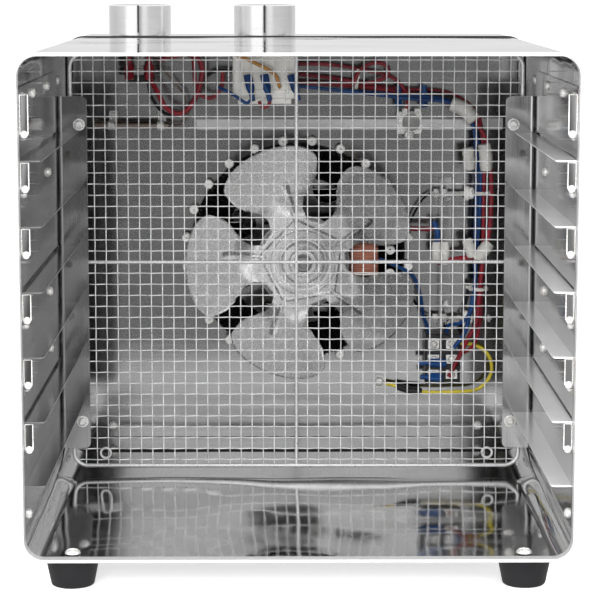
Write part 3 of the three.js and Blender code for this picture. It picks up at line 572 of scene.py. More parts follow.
def worn_metal(name, stops, roughness, rise, grain, cloud, shine=1.0):
    """Small hardware: a colour that shifts in patches, and fine handling marks."""
    finish = material(name, metallic=shine)
    marks = finish.noise(grain, 4.0, 0.6)
    colour = finish.ramp(finish.noise(cloud, 3.0), stops)
    gloss = finish.span(marks, 0.25, 0.75, roughness - 0.05, roughness + rise)
    return finish.cover(colour, gloss, finish.bump(marks, 0.00003, 0.35))


def plated_steel(name, tone, roughness, shine=1.0):
    stops = [(0.3, rgb(tone * 0.82, tone * 0.8, tone * 0.76)), (0.65, grey(tone * 1.05))]
    return worn_metal(name, stops, roughness, 0.16, 900.0, 130.0, shine)


def coloured_metal(name, dark, light, roughness):
    """Brass, bronze or copper, dulled in patches."""
    return worn_metal(name, [(0.3, (*dark, 1)), (0.7, (*light, 1))], roughness, 0.15, 800.0, 110.0)


def satin_aluminium_painted_side_light():
    """Stamped sheet aluminium: soft sheen, a fine dappled face, faint draw lines, and painted light: lighter
    towards -x across the fan, darker towards +x.
    """
    finish = material("satin_aluminium_painted_side_light", metallic=0.86)
    dapple = finish.noise(420.0, 5.0, 0.7)
    # Painted light and shade: the tone is raised on the fan's left and lowered on its right.
    side = finish.span(finish.part(finish.place(), "X"), -0.01, 0.05, 0.3, -0.25)
    body = finish.tones(finish.maths("ADD", side, finish.noise(26.0, 4.0, 0.6)), grey(0.42), grey(0.98))
    colour = finish.blend(0.2, body, finish.tones(dapple, grey(0.8), grey(0.98)))
    grain = finish.bump(finish.noise((120.0, 120.0, 2600.0), 3.0, 0.6), 0.00003, 0.3)
    roughness = finish.span(dapple, 0.3, 0.7, 0.2, 0.36)
    return finish.cover(colour, roughness, finish.bump(dapple, 0.00006, 0.5, grain))


def brushed_knob(name):
    """Turned steel, with fine lines round the side."""
    finish = material(name, metallic=1.0, anisotropic=0.35)
    rings = finish.noise((60.0, 60.0, 5200.0), 3.0, 0.6)
    roughness = finish.span(finish.noise(60.0, 3.0), 0.3, 0.7, 0.12, 0.22)
    colour = finish.tones(rings, grey(0.84), grey(0.93))
    return finish.cover(colour, roughness, finish.bump(rings, 0.00002, 0.35))


def oxidised_coil():
    finish = material("oxidised_coil", metallic=1.0)
    scale = finish.noise(600.0, 4.0, 0.7)
    stops = [(0.3, rgb(0.010, 0.010, 0.011)), (0.6, rgb(0.035, 0.033, 0.032)), (0.8, rgb(0.11, 0.10, 0.095))]
    return finish.cover(finish.ramp(scale, stops), finish.span(scale, 0.3, 0.7, 0.35, 0.6))


def speckled(name, dark, light, roughness, grain=500.0, depth=0.00005, cloud=30.0, **sockets):
    """Moulded or fired material: cloudy colour, a fine moulded texture and uneven gloss."""
    finish = material(name, **sockets)
    texture = finish.noise(grain, 4.0, 0.6)
    colour = finish.tones(finish.noise(cloud, 4.0, 0.6), (*dark, 1), (*light, 1))
    gloss = finish.span(texture, 0.25, 0.75, roughness - 0.07, roughness + 0.1)
    return finish.cover(colour, gloss, finish.bump(texture, depth, 0.5))


def wire_insulation(name, dark, light):
    return speckled(name, dark, light, 0.38, 260.0, 0.00004, 70.0, coat_weight=0.25, coat_roughness=0.3)


def wound_copper():
    """Enamelled turns under a varnished tape."""
    finish = material("wound_copper", coat_weight=0.3, coat_roughness=0.35)
    turns = finish.noise((90.0, 90.0, 1700.0), 2.0)
    colour = finish.tones(turns, rgb(0.16, 0.055, 0.035), rgb(0.46, 0.2, 0.14))
    return finish.cover(colour, finish.span(turns, 0.3, 0.7, 0.4, 0.6), finish.bump(turns, 0.0003, 0.6))


def laminations():
    finish = material("laminations", metallic=1.0)
    sheets = finish.noise((20.0, 2300.0, 20.0), 1.0)
    colour = finish.ramp(sheets, [(0.35, rgb(0.10, 0.10, 0.11)), (0.65, rgb(0.30, 0.30, 0.31))])
    roughness = finish.span(finish.noise(160.0, 4.0), 0.3, 0.7, 0.35, 0.6)
    return finish.cover(colour, roughness, finish.bump(sheets, 0.0002, 0.7))


def floor_paper():
    finish = material("floor_paper", emission_strength=0.5, emission_color=grey(1.0))
    fibre = finish.noise(240.0, 4.0)
    return finish.cover(finish.tones(fibre, grey(0.9), grey(0.96)), 0.75, finish.bump(fibre, 0.00005, 0.2))


make_camera()
make_world()
make_floor()
make_light("key", (-0.9, -1.6, 1.5), (0, 0, 0.15), (1.6, 1.2), 27)
make_light("fill", (1.2, -1.3, 0.9), (0, 0, 0.15), (1.4, 1.4), 20)
make_light("top", (0, 0.1, 1.9), (0, 0, 0.2), (1.8, 1.8), 24)
make_light("front", (-0.2, -2.3, 0.75), (0, 0, 0.17), (1.2, 0.9), 52)

# Noise scales along x, y and z: sheet rolled from front to back, across, and upright.
CASE_GRAIN = (1800.0, 14.0, 1800.0)
CROSS_GRAIN = (14.0, 1500.0, 1500.0)
RACK_GRAIN = (1500.0, 1500.0, 12.0)
EVEN_GRAIN = (900.0, 900.0, 900.0)
WALL_STEEL = polished_steel("wall_steel", 0.60, 0.03, CASE_GRAIN)
FLOOR_STEEL = polished_steel("floor_steel", 0.62, 0.03, CASE_GRAIN, 0.0002, 0.5, 1.0, 0.026)
# A lighter, half-diffuse copy of the wall steel for the hem round the mouth: painted light, so the rolled
# edge reads bright.
HEM_STEEL_PAINTED_LIGHT = polished_steel("hem_steel_painted_light", 0.72, 0.35, EVEN_GRAIN, 0.00001, 0.5, 0.5)
PANEL_STEEL = polished_steel("panel_steel", 0.60, 0.10, CROSS_GRAIN, 0.00008)
# A lighter, partly diffuse copy of the panel steel for the control ledge: painted light on its folded front.
LEDGE_STEEL_PAINTED_LIGHT = polished_steel("ledge_steel_painted_light", 0.78, 0.2, CROSS_GRAIN, 0.00006, 0.7, 0.6)
# Lit and shaded copies of one rack steel: the left rack and its shelves are painted darker (painted shade);
# the right rack is painted lighter, and its shelves near white and mostly diffuse (painted light and painted
# reflection).
RACK_STEELS_LIT_AND_SHADED = {
    "left": polished_steel("rack_steel_left_painted_shade", 0.38, 0.035, RACK_GRAIN, 0.00006, 0.7),
    "right": polished_steel("rack_steel_right_painted_light", 0.52, 0.035, RACK_GRAIN, 0.00006, 0.7),
}
SHELF_STEELS_LIT_AND_SHADED = {
    "left": polished_steel("shelf_steel_left_painted_shade", 0.42, 0.12, RACK_GRAIN, 0.00006, 0.7, 0.9),
    "right": polished_steel("shelf_steel_right_painted_reflection", 0.96, 0.2, RACK_GRAIN, 0.00006, 0.7, 0.35),
}
SCREW_STEEL = plated_steel("screw_steel", 0.94, 0.18, 0.6)
DULL_STEEL = plated_steel("dull_steel", 0.5, 0.34)
CAST_ALUMINIUM = plated_steel("cast_aluminium", 0.55, 0.4)
WIRE_STEEL = bright_wire()
FAN_ALUMINIUM_PAINTED_SIDE_LIGHT = satin_aluminium_painted_side_light()
BRONZE = coloured_metal("sintered_bronze", (0.42, 0.24, 0.11), (0.6, 0.38, 0.2), 0.42)
BRASS = coloured_metal("brass", (0.62, 0.45, 0.2), (0.8, 0.62, 0.32), 0.28)
BULB_COPPER = coloured_metal("drawn_copper", (0.34, 0.27, 0.23), (0.5, 0.42, 0.37), 0.3)
COIL = oxidised_coil()
LAMINATION = laminations()
COPPER = wound_copper()
KNOB = brushed_knob("knob_steel")
KNOB_END = polished_steel("knob_end", 0.6, 0.2, (2400.0, 30.0, 2400.0))
DARK_CERAMIC = speckled("dark_ceramic", (0.2, 0.2, 0.2), (0.34, 0.33, 0.32), 0.3, 900.0, 0.00004, 120.0)
CERAMIC = speckled("ceramic", (0.78, 0.77, 0.74), (0.93, 0.92, 0.9), 0.3, 900.0, 0.00004, 120.0)
RUBBER = speckled("rubber", (0.004, 0.004, 0.005), (0.01, 0.01, 0.011), 0.46, 1400.0, 0.00012)
BLACK_PLASTIC = speckled("black_plastic", (0.012, 0.012, 0.013), (0.028, 0.028, 0.03), 0.42, 1100.0)
WHITE_PLASTIC = speckled("white_plastic", (0.66, 0.65, 0.6), (0.82, 0.81, 0.77), 0.42, 900.0)
CABLES = {
    "red": wire_insulation("wire_red", (0.14, 0.006, 0.013), (0.27, 0.014, 0.026)),
    "blue": wire_insulation("wire_blue", (0.006, 0.03, 0.12), (0.012, 0.07, 0.22)),
    "black": wire_insulation("wire_black", (0.008, 0.008, 0.009), (0.02, 0.02, 0.022)),
    "orange": wire_insulation("wire_orange", (0.36, 0.15, 0.02), (0.52, 0.26, 0.06)),
    "yellow": wire_insulation("wire_yellow", (0.45, 0.36, 0.02), (0.68, 0.56, 0.05)),
    "white": wire_insulation("sleeve_white", (0.46, 0.45, 0.42), (0.66, 0.65, 0.62)),
}


# ---------------------------------------------------------------- cabinet

def cabinet_ring(inset, y, steps=10):
    radius = max(CORNER - inset, 0.6)
    outline = rounded_rectangle(
        inset - HALF_WIDTH, HALF_WIDTH - inset, UNDERSIDE + inset, TOP - inset, radius, steps,
    )
    return [(x, y, z) for x, z in outline]


def make_case():
    """The wrapped sheet, hemmed round the mouth."""
    hem, hem_depth = 2.2, 9.0
    nose = hem / 2
    rear = case_high[1]
    section = [(rear, 0.2), (rear - 0.2, 0.0)]
    section += [(FRONT + nose - u, nose - v) for u, v in arc(0, 0, nose, 90, -90, 8)]
    section += [(FRONT + hem_depth - 0.4, hem), (FRONT + hem_depth - 0.1, hem - 0.15)]
    section += [(FRONT + hem_depth, hem - 0.5), (FRONT + hem_depth, SHEET + 0.02)]
    section += [(rear - 0.2, SHEET), (rear, SHEET - 0.2)]
    rings = [cabinet_ring(inset, y) for y, inset in section]
    solid = Solid(lofted(rings, closed=True))
    count = len(rings[0])
    hem_bands, inside_band = range(2, 13), 14
    solid.marks = [1 if band in hem_bands else 0 for band in range(len(rings)) for _ in range(count)]
    # The inside band's last face runs between the two lower corners: it is the cabinet's floor.
    solid.marks[(inside_band + 1) * count - 1] = 2
    # The hem bands take the lighter hem steel: painted light.
    steels = [WALL_STEEL, HEM_STEEL_PAINTED_LIGHT, FLOOR_STEEL]
    piece("case_shell", solid, steels, "outer_case")


# A black rubber strip stands in for the dark shadow gap where the rear cover meets the case: painted shade.
def make_seam_shade_strip():
    low, high = box_mm("case_gasket")
    front, rear, proud = low[1], high[1], high[0] - HALF_WIDTH
    section = [(front, 2.0), (front, 0.2), (front + 0.4, -proud)]
    section += [(rear - 0.4, -proud), (rear, 0.2), (rear, 2.0)]
    rings = [cabinet_ring(inset, y) for y, inset in section]
    piece("seam_shade_strip", lofted(rings, closed=True), RUBBER, "case_gasket")


def stadium(u0, u1, v0, v1, steps=6):
    """A slot's outline, with round ends."""
    radius = (v1 - v0) / 2
    right = arc(u1 - radius, v0 + radius, radius, -90, 90, steps)
    return right + arc(u0 + radius, v0 + radius, radius, 90, 270, steps)


VENT_COLUMNS, VENT_ROWS = 3, 9
VENT_PITCH_X, VENT_PITCH_Z = 76, 13
VENT_LENGTH, VENT_HEIGHT = 60, 4
# A vent hood's section: depth in front of the cover's rear face, and height above the slot's middle.
HOOD = [(0.9, 2.6), (2.2, 1.4), (4.2, -2.6), (4.9, -2.3), (3.0, 2.0), (1.3, 3.3)]


def vent_places():
    """The middle of each vent slot, in x and z."""
    for column in range(VENT_COLUMNS):
        for row in range(VENT_ROWS):
            x = FAN_X + VENT_PITCH_X * (column - (VENT_COLUMNS - 1) / 2)
            yield x, FAN_Z + VENT_PITCH_Z * (row - (VENT_ROWS - 1) / 2)


def make_louvres(rear):
    """The sheet under each vent slot, pressed inwards as a hood."""
    hoods = Solid()
    for x, z in vent_places():
        section = [(rear - depth, z + rise) for depth, rise in HOOD]
        ends = []
        for share, reach in ((-1, 0.0), (-0.86, 1.0), (0.86, 1.0), (1, 0.0)):
            along = x + share * VENT_LENGTH / 2
            full = 0.25 + 0.75 * reach
            ends.append([(along, rear - 0.9 + (y - rear + 0.9) * full, v) for y, v in section])
        hoods.add(lofted(ends))
    piece("vent_louvres", hoods, WALL_STEEL)


def make_rear_cover():
    """The rear shell: one drawn cover with a rounded rear edge and rows of vent slots."""
    front, rear = cover_low[1], cover_high[1]
    bend = 3.0
    outer = [(rear - bend + bend * math.sin(a), bend - bend * math.cos(a))
             for a in [math.radians(15 * i) for i in range(6, -1, -1)]]
    section = outer + [(front + 0.2, 0.0), (front, 0.2), (front, SHEET - 0.2), (front + 0.2, SHEET)]
    section += [(rear - bend, SHEET)]
    section += [(rear - bend + (bend - SHEET) * math.sin(a), SHEET + (bend - SHEET) * (1 - math.cos(a)))
                for a in [math.radians(22.5 * i) for i in range(1, 5)]]
    shell = lofted([cabinet_ring(inset, y) for y, inset in section])
    cutters = []
    for x, z in vent_places():
        u, v = x - VENT_LENGTH / 2, z - VENT_HEIGHT / 2
        outline = stadium(u, u + VENT_LENGTH, v, v + VENT_HEIGHT)
        cutters.append(lofted([[(a, y, b) for a, b in outline] for y in (rear - 3, rear + 3)]))
    x, z = middle("power_inlet")[0], middle("power_inlet")[2]
    cutters.append(soft_box((x - 14, rear - 3, z - 10.5), (x + 14, rear + 3, z + 10.5), 1.0, 2))
    for name in ("timer_spindle", "thermostat_spindle"):
        sx, sy, _ = middle(name)
        cutters.append(lathe([(5, TOP - 3), (5, TOP + 2)], 24, "z", (sx, sy, 0)))
    piece("rear_shell", without(shell, *cutters), WALL_STEEL, "rear_cover")
    make_louvres(rear)


def make_back_panel():
    """The inner rear wall: a polished plate with a turned rim, intake holes and fixing holes."""
    inset = 1.5
    front, rear = panel_low[1], panel_high[1]
    outline = [(x, z) for x, _, z in cabinet_ring(inset, front)]
    holes = [circle(FAN_X, FAN_Z + side * BOLT_OFFSET, 2.3, 16) for side in (-1, 1)]
    earth_x, _, earth_z = middle("earth_screw")
    holes.append(circle(earth_x, earth_z, 2.3, 16))
    for i in range(8):
        turn = (i + 0.5) * TAU / 8
        holes.append(circle(FAN_X + 50 * math.cos(turn), FAN_Z + 50 * math.sin(turn), 11, 28))
    plate = placed(flat_plate(outline, SHEET, holes), "y", (0, front, 0))
    section = [(front + 0.9, inset), (rear, inset), (rear, inset + SHEET), (front + 0.9, inset + SHEET)]
    rim = lofted([cabinet_ring(value, y) for y, value in section], closed=True)
    piece("rear_wall", Solid(plate, rim), PANEL_STEEL, "inner_back_panel")


def make_ledge():
    """The strip under the controls, folded down along its front edge."""
    low, high = box_mm("control_ledge")
    depth, drop = high[1] - low[1], high[2] - low[2]
    bend = 1.6
    ends = [low[0], high[0]]
    pattern = rounded_rectangle(0, depth + drop - 0.43 * bend - 0.1, ends[0], ends[1], 1.5, 3)
    folded = bent(flat_plate(pattern, SHEET), depth - bend, bend, 90, 4)
    points = [(v, high[1] - u, high[2] - w) for u, v, w in folded[0]]
    # The ledge takes the lighter steel: painted light.
    piece("control_shelf", (points, folded[1]), LEDGE_STEEL_PAINTED_LIGHT, "control_ledge")


# ---------------------------------------------------------------- tray racks

SHELF_COUNT, SHELF_PITCH, LOWEST_SHELF = 6, 40, 64
SHELF_INNER = 155.0
FLANGE_INNER, FLANGE_TOP = 147.5, 290
TAB_WIDTH, TAB_HEIGHT = 5.5, 19


def rack_sheet():
    """The side panel and its rear flange, cut flat and folded, with relief slots over every second shelf."""
    outer, bend, corner = rack_high[0], 4.0, 4.0
    depth = rack_high[1] - rack_low[1]
    fold = depth - bend
    flange = (outer - bend - FLANGE_INNER) + math.radians(90) * bend
    end = fold + flange
    bottom, top, step = rack_low[2], rack_high[2], depth - 2 * bend
    outline = arc(end - corner, bottom + corner, corner, -90, 0)
    outline += arc(end - corner, FLANGE_TOP - corner, corner, 0, 90)
    outline += [(fold - 0.8, FLANGE_TOP), (fold - 0.8, FLANGE_TOP + 2)]
    outline += arc(step - 3, top - 3, 3, 0, 90, 4) + arc(3, top - 3, 3, 90, 180, 4) + [(0, bottom)]
    slots = []
    for level in range(1, SHELF_COUNT, 2):
        shelf = LOWEST_SHELF + level * SHELF_PITCH
        slots.append(rounded_rectangle(4, step - 2, shelf + 0.1, shelf + 2.1, 0.9, 3))
    points, faces = bent(flat_plate(outline, SHEET, slots), fold, bend, 90, 8)
    return [(outer - w, rack_low[1] + u, v) for u, v, w in points], faces


def rack_shelf(level):
    front, rear = rack_low[1], rack_high[1] - 0.5
    root = rack_high[0] - SHEET + 0.2
    top = LOWEST_SHELF + level * SHELF_PITCH
    outline = [(root, front), (root, rear), (SHELF_INNER, rear), (SHELF_INNER, front + 3)]
    outline += [(SHELF_INNER + 0.6, front + 1.2), (SHELF_INNER + 3, front)]
    return placed(flat_plate(outline, SHEET, edge=0.25), "z", (0, 0, top - SHEET))


def rack_tab(bottom, top):
    """A small tab folded in at the front, with a round lower end."""
    outer = rack_high[0] - SHEET + 0.2
    inner = outer - 0.2 - TAB_WIDTH
    centre = inner + TAB_WIDTH / 2
    outline = [(outer, top), (inner + 0.6, top), (inner, top - 0.6)]
    outline += arc(centre, bottom + TAB_WIDTH / 2, TAB_WIDTH / 2, 180, 270) + [(outer, bottom)]
    return placed(flat_plate(outline, SHEET, edge=0.3), "y", (0, rack_low[1], 0))


def tab_tip(bottom):
    """The dimple pressed at a tab's lower end; it takes the bright screw steel as a painted highlight."""
    x = rack_high[0] - SHEET - TAB_WIDTH / 2
    return placed(pan_head(2.5, 1.2, False), FORWARD, (x, rack_low[1] + 0.2, bottom + 2.7))


def tab_rim(bottom, top):
    """Rounded strips down a tab's two sides; they take the bright screw steel as a painted highlight along
    the edges.
    """
    outer = rack_high[0] - SHEET - 0.3
    inner = outer + 0.6 - TAB_WIDTH
    y, high, low = rack_low[1], top - 0.5, bottom + 2.7
    near = [(outer, y, high), (inner, y, high), (inner, y, low)]
    far = [(outer, y, high), (outer, y, low)]
    return [tube(path, 0.42, 6) for path in (near, far)]


def make_racks():
    shapes = [rack_sheet(), rack_tab(277, 304)]
    shelves = [rack_shelf(level) for level in range(SHELF_COUNT)]
    painted_highlights = [tab_tip(277), *tab_rim(277, 304)]
    for level in range(SHELF_COUNT):
        top = LOWEST_SHELF + level * SHELF_PITCH - SHEET
        if level > 0:
            shapes.append(rack_tab(top - TAB_HEIGHT, top + 0.1))
            painted_highlights += [tab_tip(top - TAB_HEIGHT), *tab_rim(top - TAB_HEIGHT, top)]
    for side, flip in (("right", lambda shape: shape), ("left", mirrored)):
        solid = Solid(*[flip(shape) for shape in shapes])
        # Mark 1 gives the tab dimples and edge strips the bright screw steel, a painted highlight; mark 2
        # gives the shelves their side's painted steel.
        for mark, bright in ((1, painted_highlights), (2, shelves)):
            for shape in bright:
                solid.add(flip(shape), mark)
        # Each side takes its own steels: painted shade on the left, painted light and painted reflection on
        # the right.
        steels = [RACK_STEELS_LIT_AND_SHADED[side], SCREW_STEEL, SHELF_STEELS_LIT_AND_SHADED[side]]
        piece(f"tray_rack_{side}", solid, steels, f"rack_{side}", crease=40)


# ---------------------------------------------------------------- screws

def pan_head(radius, height, recess=True):
    """A rounded head on w = 0, facing +w, with a cross recess pressed in its middle."""
    rows, columns = 11, 32
    arm, reach, depth = 0.17 * radius, 0.56 * radius, 0.55 * height
    around = [TAU * i / columns for i in range(columns)]
    rings = [[(radius * math.cos(turn), radius * math.sin(turn), 0.0) for turn in around]]
    for row in range(rows):
        share = 1 - row / rows
        r = radius * share
        dome = height * (1 - share ** 3.2) ** 0.6
        ring = []
        for turn in around:
            u, v = r * math.cos(turn), r * math.sin(turn)
            inside = recess and max(abs(u), abs(v)) < reach and min(abs(u), abs(v)) < arm
            ring.append((u, v, dome - depth if inside else dome))
        rings.append(ring)
    centre = height - (depth if recess else 0)
    rings.append([(0.02 * u, 0.02 * v, centre) for u, v in circle(0, 0, radius, columns)])
    return lofted(rings)


def screw_head(radius, height, place):
    """A pan head that faces the open front."""
    return placed(pan_head(radius, height), FORWARD, place)


def hexagon(radius, thickness):
    """A nut's outside, with chamfered corners."""
    chamfer = 0.12 * radius
    outer = circle(0, 0, radius, 6)
    inner = circle(0, 0, radius - chamfer, 6)
    levels = [(inner, 0.0), (outer, chamfer * 0.6), (outer, thickness - chamfer * 0.6), (inner, thickness)]
    return lofted([[(u, v, w) for u, v in ring] for ring, w in levels])


def washer(radius, thickness):
    rim = [(radius - 0.2, 0), (radius, 0.2), (radius, thickness - 0.25), (radius - 0.3, thickness)]
    return turned([(0.1, 0), *rim, (0.1, thickness)], 28)


def make_rack_screws():
    """The heads that hold each rack and side wall: a row over the racks and two columns down them."""
    rear_column, front_column = FRONT + 178, FRONT + 27
    spots = [(FRONT + depth, 301) for depth in (27, 85, 175, 260)]
    spots.append((front_column, 278))
    spots += [(rear_column, z) for z in (243, 162, 123, 43)]
    spots += [(front_column, z) for z in (243, 162, 123, 43)]
    for side, name in ((1, "right"), (-1, "left")):
        solid = Solid()
        for y, z in spots:
            face = HALF_WIDTH - SHEET if y > rack_high[1] - 8 else rack_high[0] - SHEET
            solid.add(placed(pan_head(3.4, 2.3), (-side, 0, 0), (side * face, y, z)))
        piece(f"wall_screws_{name}", solid, SCREW_STEEL)


def make_guard_screws():
    """At each corner of the guard: a washer and head in front of the rack's flange, and a nut behind."""
    face = rack_high[1] - SHEET
    for corner in ("left_lower", "left_upper", "right_lower", "right_upper"):
        node = f"guard_screw_{corner}"
        x, _, z = middle(node)
        rear = box_mm(node)[1][1]
        solid = Solid(placed(washer(4.3, 0.7), FORWARD, (x, face - 0.02, z)))
        solid.add(screw_head(3.3, 2.2, (x, face - 0.7, z)))
        solid.add(lathe([(1.5, 0), (1.5, rear - face)], 16, "y", (x, face, z)))
        solid.add(placed(hexagon(3.8, 2.4), "y", (x, rear - 2.4, z)))
        piece(f"guard_fixing_{corner}", solid, SCREW_STEEL, node)


# ---------------------------------------------------------------- fan guard

MESH_PITCH, MESH_WIRE = 7.95, 0.42
CRIMP = 0.7


def crimped_wire(fixed, start, end, upright, phase):
    """One woven wire: it runs over one crossing wire and under the next."""
    samples = 4
    count = round((end - start) / MESH_PITCH * samples)
    path = []
    for i in range(count + 1):
        along = start + (end - start) * i / count
        swing = CRIMP * math.cos(math.pi * (along - phase) / MESH_PITCH)
        path.append((fixed, GUARD_Y + swing, along) if upright else (along, GUARD_Y + swing, fixed))
    return tube(path, MESH_WIRE, 6)


def make_guard():
    frame_rod, rod, corner = 1.5, 1.3, 9.5
    x0, x1 = guard_low[0] + frame_rod, guard_high[0] - frame_rod
    z0, z1 = guard_low[2] + frame_rod, guard_high[2] - frame_rod
    middle_x, middle_z = (x0 + x1) / 2, (z0 + z1) / 2
    solid = Solid()
    rim = [(x, GUARD_Y, z) for x, z in rounded_rectangle(x0, x1, z0, z1, corner, 8)]
    solid.add(tube(rim, frame_rod, 12, closed=True))
    for step in range(-20, 21):
        x = middle_x + step * MESH_PITCH
        if step and abs(x - middle_x) < x1 - middle_x:
            parity = step % 2
            solid.add(crimped_wire(x, z0, z1, True, middle_z + parity * MESH_PITCH))
        z = middle_z + step * MESH_PITCH
        if step and abs(z - middle_z) < z1 - middle_z:
            parity = (step + 1) % 2
            solid.add(crimped_wire(z, x0, x1, False, middle_x + parity * MESH_PITCH))
    solid.add(tube([(middle_x, GUARD_Y, z0), (middle_x, GUARD_Y, z1)], rod, 12))
    solid.add(tube([(x0, GUARD_Y, middle_z), (x1, GUARD_Y, middle_z)], rod, 12))
    piece("guard_mesh", solid, WIRE_STEEL, "fan_guard", crease=60)


def make_guard_eyelets():
    """The two wire eyes near the guard's lower corners, each with its screw in the rear wall."""
    for side, name in ((-1, "left"), (1, "right")):
        x, z = side * 137, 34
        ring = [(x + u, GUARD_Y - 1.6, z + v) for u, v in circle(0, 0, 3.6, 20)]
        piece(f"guard_eyelet_{name}", tube(ring, 0.9, 8, closed=True), WIRE_STEEL)
        head = screw_head(3.6, 2.2, (side * 141, PANEL_FRONT, 28))
        piece(f"rear_wall_screw_{name}", head, SCREW_STEEL)


# ---------------------------------------------------------------- fan

BLADES, FIRST_BLADE = 5, math.radians(38)
DISC_Y = 86.6
BLADE_PITCH = 0.45
FAN_SHEET = 1.2
HUB_EDGE = 34.0
# Half the angle that a blade spans, in degrees, at a few radii from neck to tip.
BLADE_SPAN = [(34, 23.5), (40, 20.0), (46, 20.5), (52, 24.0), (58, 27.5), (64, 29.0), (70, 28.7)]
TIP_SHOULDER, TIP_RADIUS = 70.0, 86.2


def eased(value, start, end):
    share = min(1.0, max(0.0, (value - start) / (end - start)))
    return share * share * (3 - 2 * share)


def between(table, value):
    """Smooth reading of a short table."""
    for (a, low), (b, high) in zip(table, table[1:]):
        if value <= b:
            return low + (high - low) * eased(value, a, b)
    return table[-1][1]


def rib_height(radius, angle):
    """How far the pressed rib stands proud at a point; each rib leans a little as it runs out."""
    lean = math.radians(-10 + 3.5 * (radius - 31) / 27)
    off = (angle - lean + math.pi / BLADES) % (TAU / BLADES) - math.pi / BLADES
    across = radius * math.sin(off)
    reach = 59.0
    past = max(0.0, radius - (reach - 2.2))
    distance = math.hypot(across, past)
    return 2.8 * (1 - eased(distance, 0.6, 1.7)) * eased(radius, 24, 29)


def hub_height(radius, angle):
    """The drawn hub: a boss, two rings and a raised five-sided plateau whose corners meet the ribs."""
    boss = 5.4 * (1 - eased(radius, 9.2, 12.6))
    inner_ring = 1.5 * math.exp(-(((radius - 14.8) / 0.8) ** 2))
    groove = -1.1 * math.exp(-(((radius - 18.3) / 0.7) ** 2))
    outer_ring = 1.3 * math.exp(-(((radius - 22.6) / 0.7) ** 2))
    half_side = math.pi / BLADES
    off = (angle + math.radians(10) + half_side) % (TAU / BLADES) - half_side
    edge = 25.6 / math.cos(half_side - abs(off))
    raised = 1.8 * (1 - eased(radius, edge - 0.3, edge + 1.3))
    lip = 0.6 * math.exp(-(((radius - edge + 0.5) / 0.7) ** 2))
    return boss + inner_ring + groove + outer_ring + raised + lip


def fan_point(radius, angle, twist):
    """A point of the stamping; angle is from the blade's middle line, twist from 0 at the hub to 1."""
    across = radius * math.sin(angle)
    camber = 2.2 * twist * (1 - (across / 36.0) ** 2)
    proud = max(hub_height(radius, angle), rib_height(radius, angle))
    return DISC_Y - proud - twist * across * math.tan(BLADE_PITCH) + camber


def make_impeller():
    """One stamping: the hub is a polar grid, and each blade goes on from the hub's edge."""
    blade_columns, gap_columns, blade_rows = 56, 10, 42
    root = math.radians(BLADE_SPAN[0][1])
    sector = TAU / BLADES
    turns = [root * (2 * j / blade_columns - 1) for j in range(blade_columns + 1)]
    gap = sector - 2 * root
    turns += [root + gap * j / gap_columns for j in range(1, gap_columns)]
    columns = [(FIRST_BLADE + k * sector, turn) for k in range(BLADES) for turn in turns]
    radii = [6.6 + (HUB_EDGE - 6.6) * i / 54 for i in range(55)]
    points, faces = [], []

    def put(radius, angle, turn, twist, fall=0.0):
        y = fan_point(radius, turn, twist) + fall
        points.append((FAN_X + radius * math.cos(angle), y, FAN_Z + radius * math.sin(angle)))
        return len(points) - 1

    hub = []
    for radius in radii:
        ring = []
        for centre, turn in columns:
            gap_share = eased(abs(turn), root, root + 0.1) if abs(turn) > root else 0.0
            fall = 2.6 * gap_share * eased(radius, HUB_EDGE - 4, HUB_EDGE)
            ring.append(put(radius, centre + turn, turn, 0.0, fall))
        hub.append(ring)
    count = len(columns)
    for a, b in zip(hub, hub[1:]):
        faces += [(a[i], a[(i + 1) % count], b[(i + 1) % count], b[i]) for i in range(count)]
    per_sector = len(turns)
    for k in range(BLADES):
        centre = FIRST_BLADE + k * sector
        previous = hub[-1][k * per_sector:k * per_sector + blade_columns + 1]
        for row in range(1, blade_rows + 1):
            current = []
            for j in range(blade_columns + 1):
                t = 2 * j / blade_columns - 1
                edge = TIP_SHOULDER + (TIP_RADIUS - TIP_SHOULDER) * (1 - abs(t) ** 2.6) ** (1 / 2.6)
                radius = HUB_EDGE + (edge - HUB_EDGE) * row / blade_rows
                turn = t * math.radians(between(BLADE_SPAN, min(radius, TIP_SHOULDER)))
                current.append(put(radius, centre + turn, turn, eased(radius, HUB_EDGE, 52)))
            faces += [(previous[j], previous[j + 1], current[j + 1], current[j])
                      for j in range(blade_columns)]
            previous = current
    fan = piece("fan_stamping", (points, faces), FAN_ALUMINIUM_PAINTED_SIDE_LIGHT, "fan_impeller", "fan", crease=50)
    solidify = fan.modifiers.new("sheet", "SOLIDIFY")
    solidify.thickness = FAN_SHEET * MM
    solidify.offset = 0.0
    fan.modifiers.move(1, 0)


def make_hub_nut():
    low, high = box_mm("hub_nut")
    solid = Solid(placed(hexagon(6.2, high[1] - low[1]), "y", (FAN_X, low[1], FAN_Z)))
    solid.add(placed(washer(8.2, 0.5), "y", (FAN_X, high[1] - 0.4, FAN_Z)))
    shaft_end = [(3.0, 0), (3.0, 0.7), (2.5, 1.3), (0.8, 1.3), (0.6, 0.4)]
    solid.add(lathe(shaft_end, 24, FORWARD, (FAN_X, low[1], FAN_Z)))
    piece("hub_lock_nut", solid, DULL_STEEL, "hub_nut", "fan")


# ---------------------------------------------------------------- motor

